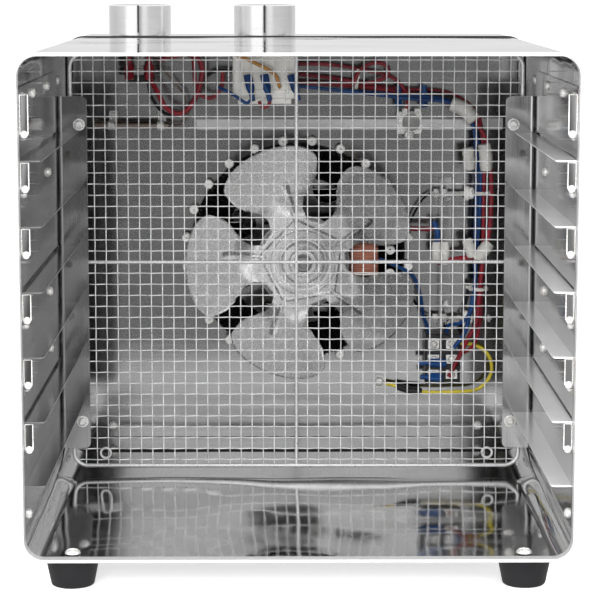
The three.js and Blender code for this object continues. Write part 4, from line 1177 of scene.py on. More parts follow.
def make_motor():
    """The laminated stack, and the winding's turns between two strips of tape."""
    low, high = box_mm("motor_stator")
    bore = lathe([(15.5, low[1] - 1), (15.5, high[1] + 1)], 40, "y", (FAN_X, 0, FAN_Z))
    window = soft_box((24, low[1] - 1, FAN_Z - 13), (44, high[1] + 1, FAN_Z + 13), 1.0, 2)
    stack = without(soft_box(low, high, 0.6, 2), bore, window)
    piece("stator_stack", stack, LAMINATION, "motor_stator")
    low, high = box_mm("motor_winding")
    solid = Solid()
    turns, tape = 15, 0.2
    wound = high[2] - low[2] - 1.2
    narrow = rounded_rectangle(low[0] + 0.5, high[0] - 0.5, low[1] + 0.5, high[1] - 0.5, 3.5, 4)
    wide = rounded_rectangle(low[0], high[0], low[1], high[1], 4.0, 4)
    for i in range(turns):
        z0 = low[2] + 0.6 + wound * i / turns
        z1 = z0 + wound / turns
        levels = ((narrow, z0), (wide, (z0 + z1) / 2), (narrow, z1))
        solid.add(lofted([[(x, y, z) for x, y in loop] for loop, z in levels]))
    for bottom, top in ((low[2], low[2] + 1.2), (high[2] - 1.2, high[2])):
        corners = (low[0] - tape, low[1] - tape, bottom), (high[0] + tape, high[1] + tape, top)
        solid.add(soft_box(*corners, 0.5), 1)
    piece("winding_turns", solid, [COPPER, WHITE_PLASTIC], "motor_winding")


# ---------------------------------------------------------------- heater

BEADS, BEAD_RING = 24, 85.0
COIL_TURNS, COIL_WIRE = 150, 0.5


def make_heater_coil():
    low, high = box_mm("heater_coil")
    minor = (high[1] - low[1]) / 2 - COIL_WIRE - 0.2
    major = (high[0] - low[0]) / 2 - minor - COIL_WIRE - 0.2
    rng = random.Random(SEED)
    samples = 18
    wobble = [rng.uniform(-0.25, 0.25) for _ in range(COIL_TURNS + 1)]
    path = []
    for i in range(COIL_TURNS * samples):
        turn = i / samples
        k = int(turn)
        lean = wobble[k] + (wobble[k + 1] - wobble[k]) * (turn - k)
        around = TAU * (turn + lean) / COIL_TURNS
        inner = TAU * turn
        radius = major + minor * math.cos(inner)
        y = COIL_Y + minor * math.sin(inner)
        path.append((COIL_X + radius * math.cos(around), y, COIL_Z + radius * math.sin(around)))
    piece("heater_element", tube(path, COIL_WIRE, 5, closed=True), COIL, "heater_coil", crease=80)


def make_heater_frame():
    """The back ring that carries the element, with a spoke and a ceramic bead at each support."""
    rear = box_mm("heater_frame")[1][1]
    ring = [[(COIL_X + u, y, COIL_Z + v) for u, v in circle(0, 0, r, 96)]
            for r, y in ((57.5, rear - 1), (82, rear - 1), (82, rear), (57.5, rear))]
    metal = Solid(lofted(ring, closed=True))
    beads = Solid()
    profile = [(0.5, 0), (2.8, 0), (3.4, 0.5), (3.65, 1.6), (3.65, 6.2), (3.3, 7.4), (2.6, 7.9), (0.5, 7.9)]
    for i in range(BEADS):
        turn = TAU * (i + 0.5) / BEADS
        out = Vector((math.cos(turn), 0, math.sin(turn)))
        place = Vector((COIL_X, 0, COIL_Z)) + out * BEAD_RING
        beads.add(lathe(profile, 20, FORWARD, (place.x, rear - 0.1, place.z), closed=True))
        wire = [Vector((COIL_X, 0, COIL_Z)) + out * r + Vector((0, y, 0))
                for r, y in ((60, rear - 14), (74, rear - 15), (79.5, rear - 12), (82.5, rear - 4.5))]
        metal.add(tube(smooth_path(wire, 2.5), 0.55, 6))
    piece("heater_support", metal, COIL, "heater_frame")
    piece("heater_beads", beads, CERAMIC)


# ---------------------------------------------------------------- small hardware

def threaded(radius, length, pitch):
    """A rod along w whose thread shows as even ridges."""
    count = round(length / pitch * 2)
    profile = [(radius if i % 2 else 0.84 * radius, length * i / count) for i in range(count + 1)]
    return turned(profile, 16)


def blended(sections, steps=5):
    """A loft along w through (half width, half height, corner, w) sections."""
    rings = []
    for half_u, half_v, corner, w in sections:
        radius = min(corner, 0.97 * min(half_u, half_v))
        outline = rounded_rectangle(-half_u, half_u, -half_v, half_v, radius, steps)
        rings.append([(u, v, w) for u, v in outline])
    return lofted(rings)


def push_connector(tip, towards, half_width, length):
    """An insulated push-on connector: a flat hood that narrows to a sleeve round its wire."""
    sections = [(half_width - 0.3, 1.5, 0.8, 0.0), (half_width, 1.9, 1.1, 0.4)]
    sections += [(half_width, 2.0, 1.2, 0.5 * length), (2.3, 2.1, 2.0, 0.66 * length)]
    sections += [(2.0, 2.0, 2.0, 0.7 * length), (1.9, 1.9, 1.9, length)]
    return placed(blended(sections), Vector(towards) - Vector(tip), tip)


def metal_tab(low, high):
    return soft_box(low, high, 0.2, 1)


def make_feet():
    """Tapered rubber feet, each held by a screw through the cabinet's floor."""
    sole, edge, head = 13.5, 2.0, 2.7
    for name in ("front_left", "front_right", "rear_left", "rear_right"):
        low, high = box_mm(f"foot_{name}")
        x, y, _ = middle(f"foot_{name}")
        radius, top = (high[0] - low[0]) / 2, high[2]
        profile = [(7.6, 0.9), (8.3, 0.8), (8.8, 0.0), *arc(sole - edge, edge, edge, -90, -12, 6)]
        profile += [(radius - 0.25, top - 1.2), (radius, top - 0.6), (radius - 0.3, top)]
        profile += [(2.7, top), (2.4, top - 0.3), (2.4, 6.3)]
        foot = lathe(profile, 64, "z", (x, y, 0))
        piece(f"rubber_foot_{name}", foot, RUBBER, f"foot_{name}", crease=50)
        low, high = box_mm(f"foot_screw_{name}")
        screw = Solid(placed(pan_head(5.0, head), "z", (x, y, high[2] - head)))
        screw.add(placed(threaded(2.0, high[2] - head - low[2], 0.8), "z", (x, y, low[2])))
        piece(f"foot_fixing_{name}", screw, SCREW_STEEL, f"foot_screw_{name}")


# ---------------------------------------------------------------- motor hardware

BEARING_FIT = 6.65


def make_bearing_strap(end):
    """A cast strap with its bearing boss, its two bolted feet, and the bronze bush that it carries."""
    low, high = box_mm(f"motor_bracket_{end}")
    start, stop = [corner[1] for corner in box_mm(f"bearing_{end}")]
    length = stop - start
    strap = (104.0, 106.0) if end == "front" else (140.0, 142.0)
    top = (high[2] - low[2]) / 2
    outline = rounded_rectangle(-7.0, 7.0, -top, top, 3.0, 6)
    holes = [circle(0, 0, BEARING_FIT, 32)]
    holes += [circle(0, side * BOLT_OFFSET, 2.2, 20) for side in (-1, 1)]
    plate = flat_plate(outline, strap[1] - strap[0], holes, 0.4)
    solid = Solid(placed(plate, "y", (FAN_X, strap[0], FAN_Z)))
    boss = [(BEARING_FIT, 0), (8.6, 0), (9.2, 0.6)]
    boss += [(9.5, length - 0.6), (9.0, length), (BEARING_FIT, length)]
    solid.add(lathe(boss, 40, "y", (FAN_X, start, FAN_Z), closed=True))
    foot_low, foot_high = (strap[1], high[1]) if end == "front" else (low[1], strap[0])
    for side in (-1, 1):
        z = FAN_Z + side * BOLT_OFFSET
        block = soft_box((FAN_X - 7, foot_low - 0.2, z - 4.4), (FAN_X + 7, foot_high, z + 4.4), 0.8, 2)
        bore = lathe([(2.2, foot_low - 2), (2.2, foot_high + 2)], 20, "y", (FAN_X, 0, z))
        solid.add(without(block, bore))
    piece(f"motor_strap_{end}", solid, CAST_ALUMINIUM, f"motor_bracket_{end}")
    bush = [(3.15, 0.2), (4.4, 0.2), (4.5, 0.5), (5.3, 0.5), (5.4, 0), (6.2, 0), (6.5, 0.3)]
    bush += [(6.5, length - 0.3), (6.2, length), (5.4, length)]
    bush += [(5.3, length - 0.5), (3.15, length - 0.3)]
    bearing = lathe(bush, 40, "y", (FAN_X, start, FAN_Z), closed=True)
    piece(f"motor_bearing_{end}", bearing, BRONZE, f"bearing_{end}")


def make_motor_bolt(level, side):
    low, high = box_mm(f"motor_bolt_{level}")
    z = FAN_Z + side * BOLT_OFFSET
    bolt = Solid(screw_head(3.6, 2.6, (FAN_X, low[1] + 2.9, z)))
    bolt.add(placed(threaded(1.9, high[1] - low[1] - 4, 1.0), "y", (FAN_X, low[1] + 2.9, z)))
    bolt.add(placed(hexagon(3.6, 2.9), "y", (FAN_X, high[1] - 2.9, z)))
    piece(f"motor_through_bolt_{level}", bolt, SCREW_STEEL, f"motor_bolt_{level}")


def make_rotor():
    """The rotor, with its end rings, on the shaft that carries the fan."""
    low, high = box_mm("motor_rotor")
    radius, length = (high[0] - low[0]) / 2, high[1] - low[1]
    profile = [(3.0, 0), (radius - 3.0, 0), (radius - 1.4, 0.2), (radius - 1.2, 2.4)]
    profile += [(radius - 0.2, 2.6), (radius, 3.0)]
    profile += [(r, length - w) for r, w in reversed(profile)]
    rotor = lathe(profile, 48, "y", (FAN_X, low[1], FAN_Z))
    piece("rotor_body", rotor, LAMINATION, "motor_rotor", "fan")
    low, high = box_mm("motor_shaft")
    length = high[1] - low[1]
    profile = [(2.4, 0), (3.0, 0.7), (3.0, 10.0), (2.9, 10.4), (2.9, 11.0), (3.0, 11.4)]
    profile += [(3.0, length - 0.7), (2.4, length)]
    shaft = lathe(profile, 32, "y", (FAN_X, low[1], FAN_Z))
    piece("drive_shaft", shaft, SCREW_STEEL, "motor_shaft", "fan")


# ---------------------------------------------------------------- heater terminals

def make_heater_terminals():
    """The folded strip beside the heater, with its two studs, nuts, insulators and wire tags."""
    low, high = box_mm("heater_bracket")
    rear, sheet = high[1], 1.4
    reach, width = high[1] - low[1], high[0] - low[0]
    unfolded = reach + width - 1.6
    studs = [middle(f"heater_stud_{level}") for level in ("lower", "upper")]
    pattern = rounded_rectangle(0, unfolded, low[2], high[2], 2.5, 5)
    holes = [circle(158 - low[1], z, 2.1, 20) for _, _, z in studs]
    holes += [circle(unfolded - 4.6, z, 1.8, 18) for z in (low[2] + 18, high[2] - 18)]
    points, faces = bent(flat_plate(pattern, sheet, holes, 0.3), reach - 2.2, 2.2, 90, 6)
    strip = [(low[0] + w, low[1] + u, v) for u, v, w in points]
    piece("heater_strip", (strip, faces), PANEL_STEEL, "heater_bracket")
    heads = Solid()
    for z in (low[2] + 18, high[2] - 18):
        heads.add(screw_head(3.0, 2.0, (high[0] - 4.4, rear - sheet, z)))
    piece("heater_strip_screws", heads, SCREW_STEEL)
    for level, (_, y, z) in zip(("lower", "upper"), studs):
        low, high = box_mm(f"heater_stud_{level}")
        stud = Solid(placed(threaded(1.5, high[0] - low[0], 0.75), "x", (low[0], y, z)))
        for start, length in ((104.7, 4.0), (110.8, 3.5)):
            stud.add(placed(hexagon(3.6, length), "x", (start, y, z)))
        stud.add(placed(washer(5.2, 0.7), "x", (114.4, y, z)))
        stud.add(placed(hexagon(3.0, 2.2), "x", (high[0] - 3.4, y, z)))
        piece(f"terminal_stud_{level}", stud, SCREW_STEEL, f"heater_stud_{level}")
        low, high = box_mm(f"stud_insulator_{level}")
        length = high[0] - low[0]
        ceramic = [(1.8, 0), (5.2, 0), (5.8, 0.6), (5.8, 0.42 * length), (4.6, 0.5 * length)]
        ceramic += [(4.6, length - 0.5), (4.2, length), (1.8, length)]
        body = lathe(ceramic, 36, "x", (low[0], y, z), closed=True)
        piece(f"ceramic_insulator_{level}", body, CERAMIC, f"stud_insulator_{level}")
        tag = flat_plate(rounded_rectangle(-3.2, 3.2, -3.4, 8.4, 2.6, 6), 0.8, [circle(0, 0, 1.6, 18)])
        piece(f"wire_tag_{level}", placed(tag, "x", (137, y, z)), SCREW_STEEL)


def make_coil_ends():
    """Where the element's two ends come out: a ceramic bead and a short bare lead for each."""
    beads, leads = Solid(), Solid()
    for z, level in ((COIL_Z + 4.5, 210.0), (COIL_Z - 13.5, 114.0)):
        start = (COIL_X + 69.5, COIL_Y - 12.5, z)
        profile = [(0.9, 0), (2.7, 0), (3.5, 0.8), (3.6, 4.2), (2.8, 5.0), (0.9, 5.0)]
        beads.add(lathe(profile, 24, FORWARD, start, closed=True))
        bend = 1 if level > COIL_Z else -1
        route = [start, (COIL_X + 71, COIL_Y - 6, z), (COIL_X + 78, COIL_Y + 2, z + 6 * bend)]
        route += [(97, 157, level - 4 * bend), (103, 158, level)]
        leads.add(tube(smooth_path(route, 3.0), 0.8, 8))
    piece("element_lead_beads", beads, CERAMIC)
    piece("element_leads", leads, COIL)


# ---------------------------------------------------------------- controls

def make_knobs():
    """Solid turned knobs with a fine pointer line let into the side."""
    for control in ("timer", "thermostat"):
        dial = f"{control}_dial"
        low, high = box_mm(f"{control}_knob")
        x, y, _ = middle(f"{control}_knob")
        radius, height = (high[0] - low[0]) / 2, high[2] - low[2]
        profile = [(3.15, 15.8), (3.15, 0.3), (3.45, 0), (radius - 0.5, 0), (radius, 0.5)]
        profile += [(radius - 0.9 + u, height - 0.9 + v) for u, v in arc(0, 0, 0.9, 0, 90, 4)]
        profile += [(radius - 2.0, height - 0.02), (radius - 2.4, height - 0.25), (0.6, height - 0.25)]
        knob = lathe(profile, 128, "z", (x, y, low[2]))
        face = y - radius
        groove = soft_box((x - 0.7, face - 1, low[2] + 2.6), (x + 0.7, face + 0.8, high[2] + 1), 0.1, 1)
        body = Solid(without(knob, groove))
        end = high[2] - 0.3
        body.marks = [1 if min(body.points[i][2] for i in loop) > end else 0 for loop in body.faces]
        piece(dial, body, [KNOB, KNOB_END], f"{control}_knob", dial, crease=40)
        ends = (x - 0.62, face + 0.12, low[2] + 2.8), (x + 0.62, face + 0.9, high[2] - 0.5)
        line = soft_box(*ends, 0.08, 1)
        piece(f"{control}_pointer", line, BLACK_PLASTIC, body=dial)
        low, high = box_mm(f"{control}_spindle")
        length = high[2] - low[2]
        profile = [(2.5, 0), (3.0, 0.5), (3.0, length - 0.6), (2.5, length)]
        spindle = lathe(profile, 32, "z", (x, y, low[2]))
        piece(f"{control}_shaft", spindle, SCREW_STEEL, f"{control}_spindle", dial)


TIMER_TABS = (-35.5, -23.5, -3.5)


def make_timer():
    """The clockwork timer: a moulded case, its gear cover below, and the blade terminals in front."""
    low, high = box_mm("timer_body")
    front, case_bottom = low[1], 283.0
    x, y, _ = middle("timer_spindle")
    case = soft_box((low[0], front, case_bottom), high, 2.4, 4)
    bore = lathe([(3.3, high[2] - 12), (3.3, high[2] + 2)], 24, "z", (x, y, 0))
    solid = Solid(without(case, bore))
    solid.add(soft_box((low[0] + 4, front + 4, low[2]), (high[0] - 4, high[1] - 4, case_bottom + 1), 1.2, 3))
    for z in (case_bottom + 6, high[2] - 7):
        solid.add(soft_box((low[0] + 2, front - 0.8, z), (high[0] - 2, front + 0.5, z + 1.2), 0.3, 2))
    for share in (0.16, 0.84):
        post = low[0] + (high[0] - low[0]) * share
        ends = (post - 1.4, front - 1.1, case_bottom + 3), (post + 1.4, front + 0.5, high[2] - 3)
        solid.add(soft_box(*ends, 0.5, 2))
    piece("timer_case", solid, WHITE_PLASTIC, "timer_body")
    tabs, screws = Solid(), Solid()
    for place in TIMER_TABS:
        tabs.add(metal_tab((place - 2.4, front - 4.6, 299), (place + 2.4, front + 0.5, 300.2)))
    for place in (low[0] + 5, high[0] - 5):
        screws.add(screw_head(2.6, 1.6, (place, front - 1.0, high[2] - 11)))
    piece("timer_terminals", tabs, BRASS)
    piece("timer_screws", screws, SCREW_STEEL)


def make_thermostat():
    """The thermostat's plated can over its moulded base, with two terminals in front."""
    low, high = box_mm("thermostat_body")
    x, y, _ = middle("thermostat_spindle")
    radius, can_bottom = (high[0] - low[0]) / 2, 300.0
    length = high[2] - can_bottom
    profile = [(radius - 1.2, 0), (radius, 1.0), (radius, 5.0)]
    profile += [(radius - 0.8, 5.6), (radius - 0.8, 7.0), (radius, 7.6)]
    profile += [(radius, length - 1.4), (radius - 1.2, length), (3.3, length), (3.3, length - 12)]
    can = lathe(profile, 56, "z", (x, y, can_bottom))
    piece("thermostat_can", can, DULL_STEEL, "thermostat_body")
    base = soft_box((x - 9, y - 10, low[2]), (x + 9, y + 10, can_bottom + 0.8), 1.2, 3)
    piece("thermostat_base", base, BLACK_PLASTIC)
    tabs = Solid()
    for side in (-1, 1):
        place = x + side * 6.6
        tabs.add(metal_tab((place - 2.2, y - 16.5, 297.2), (place + 2.2, y - 8, 298.2)))
        tabs.add(screw_head(2.4, 1.6, (place, y - 10.0, 303)))
    piece("thermostat_terminals", tabs, BRASS)
    hoods = Solid()
    for side in (-1, 1):
        tip = (x + side * 7.4, y - 16.4, 297.5)
        hoods.add(push_connector(tip, (tip[0], tip[1] - 4, tip[2] + 20), 3.6, 19))
    piece("thermostat_connectors", hoods, CABLES["red"])


def make_sensor():
    """The sensing bulb, its capillary, and the two clips that hold it under the ledge."""
    start = box_mm("thermostat_bulb")[0][0]
    y, z, radius, length = 150.0, 262.0, 3.0, 60.0
    profile = [(0.6, 0), (2.2, 0.5), (radius, 2.2), (radius, length - 5)]
    profile += [(2.2, length - 3), (1.2, length - 2), (1.1, length)]
    solid = Solid(lathe(profile, 28, "x", (start, y, z)))
    route = [(-93, 150, 262), (-86, 149, 263), (-82, 147, 272)]
    route += [(-84, 145, 286), (-91, 143, 294), (-98.4, 142.5, 304)]
    solid.add(tube(smooth_path(route, 2.0), 0.9, 10))
    piece("sensing_bulb", solid, BULB_COPPER, "thermostat_bulb")
    clips = Solid()
    for place in (-141, -104):
        band = [(radius + 0.15, 0), (radius + 0.75, 0), (radius + 0.75, 5), (radius + 0.15, 5)]
        clips.add(lathe(band, 28, "x", (place, y, z), closed=True))
        clips.add(soft_box((place, y + radius - 0.2, z - 0.5), (place + 5, PANEL_FRONT, z + 0.5), 0.2, 1))
        clips.add(screw_head(2.6, 1.6, (place + 2.5, PANEL_FRONT - 0.2, z + 6.5)))
        ends = (place - 0.6, PANEL_FRONT - 0.9, z - 1), (place + 5.6, PANEL_FRONT - 0.1, z + 10)
        clips.add(soft_box(*ends, 0.35, 2))
    piece("bulb_clips", clips, SCREW_STEEL)


def make_cutout():
    """The thermal cut-out: a moulded body over a metal cup, on a bracket screwed to the ledge."""
    low, high = box_mm("thermal_cutout")
    x, z, radius = middle("thermal_cutout")[0], 264.0, 7.5
    rear = high[1]
    cup = [(radius - 1.0, 0), (radius, 0.8), (radius, 3.4), (radius - 0.5, 3.6)]
    front = low[1]
    depth = rear - front
    body = [(5.9, 0), (6.4, 0.5), (6.4, depth - 3.4), (6.9, depth - 3.2)]
    metal = Solid(lathe([(r, depth - w) for r, w in reversed(cup)], 40, "y", (x, front, z)))
    for side in (-1, 1):
        place = x + side * 4.6
        metal.add(metal_tab((place - 2, front + 2, z + 3), (place + 2, front + 3, high[2])))
    piece("cutout_cup", metal, SCREW_STEEL, "thermal_cutout")
    piece("cutout_body", lathe(body, 40, "y", (x, front, z)), DARK_CERAMIC)
    ledge_low, _ = box_mm("control_ledge")
    plate = flat_plate(rounded_rectangle(-9.5, 9.5, -8, 9, 2.0, 5), 1.0, [circle(0, 0, 1.8, 20)], 0.25)
    spot = (86, ledge_low[1] - 1.3, ledge_low[2] + 5)
    piece("cutout_bracket", placed(plate, "y", spot), SCREW_STEEL)
    screws = Solid(screw_head(4.4, 2.6, (spot[0], spot[1], spot[2] - 9)))
    screws.add(placed(hexagon(2.6, 1.8), FORWARD, spot))
    piece("cutout_screw", screws, SCREW_STEEL)
    hoods = Solid()
    for side in (-1, 1):
        tip = (x + side * 9.6, front - 1.0, high[2] + 1)
        hoods.add(push_connector(tip, (tip[0], tip[1] - 1, tip[2] + 20), 2.7, 17))
    piece("cutout_connectors", hoods, CABLES["blue"])


# ---------------------------------------------------------------- mains terminals

def make_terminal_block():
    """The moulded terminal block: ribs between its poles, clamp screws, and pushed-on connectors."""
    low, high = box_mm("terminal_block")
    ribs, rib_height, pitch = 4, 2.5, 11.7
    solid = Solid(soft_box((low[0], low[1] + 4, low[2]), (high[0], high[1], high[2]), 0.8, 2))
    for i in range(ribs):
        z = low[2] + i * pitch
        solid.add(soft_box((low[0], low[1], z), (high[0], low[1] + 5, z + rib_height), 0.5, 2))
    solid.add(soft_box((112, low[1] + 0.4, low[2] + 1), (113.4, low[1] + 5, high[2] - 1), 0.4, 2))
    piece("terminal_body", solid, BLACK_PLASTIC, "terminal_block")
    metal = Solid()
    for i in range(ribs - 1):
        z = low[2] + rib_height + (i + 0.5) * pitch - 1.2
        for x in (low[0] + 6.6, low[0] + 20.4):
            metal.add(soft_box((x - 4.4, low[1] + 3.2, z - 3.6), (x + 4.4, low[1] + 4.6, z + 3.6), 0.3, 2))
            metal.add(screw_head(3.0, 2.0, (x, low[1] + 3.2, z)))
    piece("terminal_screws", metal, SCREW_STEEL)
    hoods = Solid()
    for z, start, end in ((80.5, 121, 100), (69.5, 118, 101)):
        tip, towards = (start - 6, low[1] - 0.6, z), (end, low[1] - 1.4, z + 0.4)
        hoods.add(push_connector(tip, towards, 3.2, start - end))
    piece("terminal_connectors", hoods, CABLES["blue"])


def make_inlet():
    """The mains inlet: a flanged shell with a deep recess and three blades."""
    low, high = box_mm("power_inlet")
    x, _, z = middle("power_inlet")
    rear = high[1]
    flange_front, floor = rear - 1.2, rear - 20
    outline = rounded_rectangle(low[0], high[0], low[2], high[2], 4.0, 6)
    recess = rounded_rectangle(x - 11.5, x + 11.5, z - 8, z + 8, 2.6, 6)
    outer = rounded_rectangle(x - 13.6, x + 13.6, z - 10.1, z + 10.1, 2.0, 6)
    holes = [circle(x + side * 20, z, 1.9, 20) for side in (-1, 1)]
    plate = flat_plate(outline, rear - flange_front, [recess, *holes], 0.3)
    step = flange_front + 0.2
    levels = ((recess, floor), (recess, step), (outer, step), (outer, low[1] + 0.6))
    rings = [[(u, y, v) for u, v in part] for part, y in levels]
    rings.append([(x + (u - x) * 0.96, low[1], z + (v - z) * 0.96) for u, v in outer])
    solid = Solid(placed(plate, "y", (0, flange_front, 0)), lofted(rings))
    piece("inlet_socket", solid, BLACK_PLASTIC, "power_inlet")
    blades = Solid()
    for dx, dz in ((-7, -2), (0, 2), (7, -2)):
        u, v = x + dx, z + dz
        blades.add(soft_box((u - 1, floor - 1, v - 2), (u + 1, floor + 13, v + 2), 0.5, 2))
    piece("inlet_blades", blades, BRASS)
    screws = Solid()
    for side in (-1, 1):
        screws.add(placed(pan_head(3.2, 0.9), "y", (x + side * 20, rear - 0.9, z)))
    piece("inlet_screws", screws, SCREW_STEEL)


def make_earth_point():
    x, _, z = middle("earth_screw")
    front, rear = PANEL_FRONT - 1.5, box_mm("earth_screw")[1][1]
    screw = Solid(screw_head(3.8, 2.4, (x, front, z)))
    screw.add(placed(threaded(1.9, rear - front, 0.8), "y", (x, front, z)))
    star = [point for i in range(10) for point in (
        (5.2 * math.cos(TAU * i / 10), 5.2 * math.sin(TAU * i / 10)),
        (4.2 * math.cos(TAU * (i + 0.5) / 10), 4.2 * math.sin(TAU * (i + 0.5) / 10)),
    )]
    screw.add(placed(flat_plate(star, 0.6, [circle(0, 0, 2.0, 20)]), "y", (x, PANEL_FRONT - 1.3, z)))
    piece("earth_fixing", screw, SCREW_STEEL, "earth_screw")


# ---------------------------------------------------------------- wiring

WIRE = 1.4

WIRES = {
    "mains_red": ("red", [
        (1.8, 154, 300), (30, 154, 297), (70, 154, 290), (118, 153, 285), (136, 150, 272),
        (141, 148, 250), (142, 147, 200), (141, 147, 140), (140, 148, 112), (136, 152, 94),
        (127, 158, 86),
    ]),
    "mains_blue": ("blue", [
        (1.8, 138, 292), (30, 140, 289), (80, 141, 283), (122, 142, 277), (133, 143, 262),
        (135.5, 143, 240), (135.5, 143, 170), (134, 143, 125), (126, 148, 112), (117, 157, 108.5),
        (116, 160, 102.9),
    ]),
    "thermostat_black": ("black", [
        (-110, 143, 293.5), (-108, 143, 284), (-98, 139, 272), (-86, 137, 270), (-76, 138, 280),
        (-70, 140, 296), (-60, 142, 303), (-47.5, 143, 303),
    ]),
    "timer_orange": ("orange", [
        (-98.4, 136, 312), (-84, 130, 318), (-62, 121.5, 319), (-44, 118.5, 316), (-28, 118, 309),
        (-15, 118, 301), (-12.5, 120, 294), (-12, 124.4, 292),
    ]),
    "motor_lead": ("blue", [
        (62.4, 122, 164), (76, 126, 158), (88, 132, 150), (94, 138, 135), (97, 148, 118), (101, 156, 107),
        (102, 160, 102.9),
    ]),
    "cutout_red": ("red", [
        (84, 152, 275), (84, 148, 283), (76, 146, 296), (50, 146, 304), (20, 146, 308), (1.8, 146, 308),
    ]),
    "earth_yellow": ("yellow", [
        (126.6, 160, 94), (138, 158, 93), (148, 157, 85), (150, 156, 72), (141, 156, 60), (118, 156, 57),
        (92, 157, 57.5), (76, 162, 61), (69, 164, 62.5),
    ]),
}

# The rest of the harness, beside those wires: colour, thickness and the places each one passes.
HARNESS = {
    "second_red": ("red", 1.7, [
        (2, 150, 294), (32, 150, 292.5), (72, 150, 288), (112, 149, 280), (130, 147, 270),
        (141, 145, 256), (146, 144, 238), (147.5, 144, 206), (146, 144, 180), (141.5, 142, 160),
        (139, 142, 132), (137, 143, 112), (131, 146, 100), (124, 149, 84), (117, 150, 70),
    ]),
    "second_blue": ("blue", 1.7, [
        (38, 145, 288), (80, 145, 284.5), (116, 145, 280), (131, 146, 268), (137, 147, 250),
        (139.5, 148, 222), (138.5, 148, 190), (137, 148, 168), (136, 148, 140), (132.5, 148, 120),
        (129, 150, 104), (121, 152, 92),
    ]),
    "bundle_black": ("black", 1.5, [
        (84, 150, 286), (112, 152, 285), (130, 153, 276), (140, 152, 256), (144, 151, 230),
        (144, 151, 190), (145, 151, 160), (144, 151, 128), (139, 153, 104),
    ]),
    "lower_red": ("red", 2.0, [
        (60, 138, 178), (76, 140, 184), (94, 142, 184.5), (103, 144, 184),
    ]),
    "lower_blue": ("blue", 2.2, [
        (104, 142, 190), (107, 141, 182), (106, 142, 172), (104.5, 142, 164),
    ]),
    "cross_red": ("red", 2.0, [
        (107, 140, 159), (116, 139, 161), (127, 140, 162.5), (137, 142, 163),
    ]),
    "top_loop": ("red", 1.5, [
        (44, 141, 294), (46, 139, 301), (52, 138, 307), (61, 138, 309.5), (69, 139, 306), (69, 140, 300),
        (60, 141, 295.5), (52, 142, 294),
    ]),
    "control_red": ("red", 1.9, [
        (-101, 126, 312), (-82, 122, 316), (-72, 121, 313), (-69, 121, 304), (-72, 121, 290),
        (-78, 121, 278), (-86, 121, 272.5), (-96, 122, 277), (-102, 124, 288), (-107, 128, 296),
    ]),
    "control_second_red": ("red", 1.6, [
        (-76, 124, 318), (-75, 123, 306), (-74, 123, 294), (-70, 124, 286), (-62, 125, 284),
        (-55, 126, 292), (-54, 127, 304),
    ]),
    "control_blue": ("blue", 1.3, [
        (-58, 122, 292), (-50, 119, 289), (-42, 117, 284), (-36, 117, 280.5), (-33, 117.5, 283),
    ]),
    "control_small_red": ("red", 1.3, [
        (-27, 117, 282), (-25, 116.5, 277.5), (-21, 117, 278), (-19, 118, 282),
    ]),
}


def make_wires():
    for name, (colour, points) in WIRES.items():
        shape = tube(smooth_path(points, 2.5), WIRE, 14)
        piece(f"lead_{name}", shape, CABLES[colour], f"wire_{name}", crease=60)
    for name, (colour, radius, points) in HARNESS.items():
        shape = tube(smooth_path(points, 2.5), radius, 14)
        piece(f"harness_{name}", shape, CABLES[colour], crease=60)


def sleeve(points, radius, ends=0.8):
    """A soft sleeve pulled over wires: slightly uneven, with rolled ends."""
    path = smooth_path(points, 1.2)
    count = len(path)
    radii = []
    for i in range(count):
        edge = min(i, count - 1 - i)
        rolled = 1 - 0.18 * math.exp(-edge / ends)
        radii.append(radius * rolled * (1 + 0.035 * math.sin(1.9 * i) + 0.02 * math.sin(0.7 * i + 1)))
    return tube(path, radii, 20)


def tie(centre, along, half_u, half_v, width=2.6):
    """A flat tie drawn tight round a bundle, with its locking head and cut tail."""
    radius = min(half_u, half_v)
    outer = rounded_rectangle(-half_u - 1.1, half_u + 1.1, -half_v - 1.1, half_v + 1.1, radius, 6)
    inner = rounded_rectangle(-half_u, half_u, -half_v, half_v, 0.8 * radius, 6)
    levels = ((inner, 0), (outer, 0.1), (outer, width - 0.1), (inner, width))
    rings = [[(u, v, w) for u, v in ring] for ring, w in levels]
    solid = Solid(lofted(rings, closed=True))
    solid.add(soft_box((-2.4, half_v + 0.4, -0.8), (2.4, half_v + 4.2, width + 0.8), 0.6, 2))
    solid.add(soft_box((-0.5, half_v + 3.8, 0.2), (0.5, half_v + 8.5, width - 0.2), 0.2, 1))
    return placed(solid.shape(), along, centre)


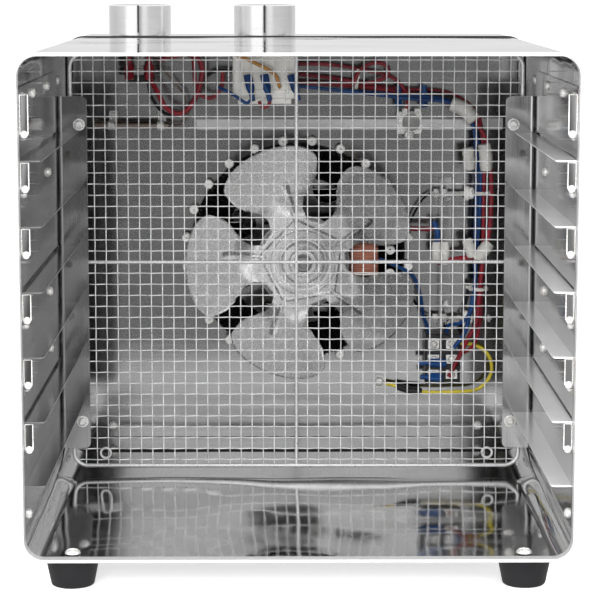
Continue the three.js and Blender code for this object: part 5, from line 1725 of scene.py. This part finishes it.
def make_sleeves():
    """Glass-fibre sleeves over the joints, the ties, and a heat-shrink over the earth lead."""
    white = Solid(sleeve([(116, 142, 279), (127, 141, 274), (134, 141, 266)], 5.6))
    white.add(sleeve([(129, 140, 246), (130, 140, 238), (130.5, 141, 229)], 4.6))
    white.add(sleeve([(141, 138, 249), (142.5, 138, 240), (143, 139, 229)], 5.0))
    white.add(sleeve([(128.5, 137, 177), (131, 137, 171), (133, 138, 164)], 4.2))
    white.add(sleeve([(137, 136, 161), (141, 136, 168), (146, 137, 174)], 4.8))
    white.add(sleeve([(106, 138, 175), (106, 138, 168), (106, 139, 160)], 3.6))
    white.add(sleeve([(113, 139, 175), (113, 139, 168), (112.5, 140, 158)], 3.0))
    white.add(tie((44.5, 147, 295), (1, 0.0, -0.08), 4.6, 5.2))
    white.add(tie((141.5, 146, 210), (0, 0, 1), 6.2, 5.0))
    white.add(tie((139.5, 146, 137), (0, 0, 1), 5.4, 5.0))
    piece("wire_sleeves", white, CABLES["white"], crease=60)
    shrink = sleeve([(97, 156.6, 57.4), (88, 157.6, 58), (77.5, 161.3, 60.6)], 2.7)
    piece("earth_heat_shrink", shrink, CABLES["black"], crease=60)
    hoods = Solid()
    for x, lean in zip(TIMER_TABS, (4, 4.5, 6)):
        tip = (x, 118.2, 301.5)
        hoods.add(push_connector(tip, (tip[0] + lean, tip[1] - 1.5, tip[2] - 20), 3.2, 20))
    piece("timer_connectors", hoods, CABLES["blue"])


make_case()
make_seam_shade_strip()
make_rear_cover()
make_back_panel()
make_ledge()
make_racks()
make_rack_screws()
make_guard_screws()
make_guard()
make_guard_eyelets()
make_feet()
make_impeller()
make_hub_nut()
make_motor()
for strap_end in ("front", "rear"):
    make_bearing_strap(strap_end)
make_motor_bolt("lower", -1)
make_motor_bolt("upper", 1)
make_rotor()
make_heater_coil()
make_heater_frame()
make_heater_terminals()
make_coil_ends()
make_knobs()
make_timer()
make_thermostat()
make_sensor()
make_cutout()
make_terminal_block()
make_inlet()
make_earth_point()
make_wires()
make_sleeves()
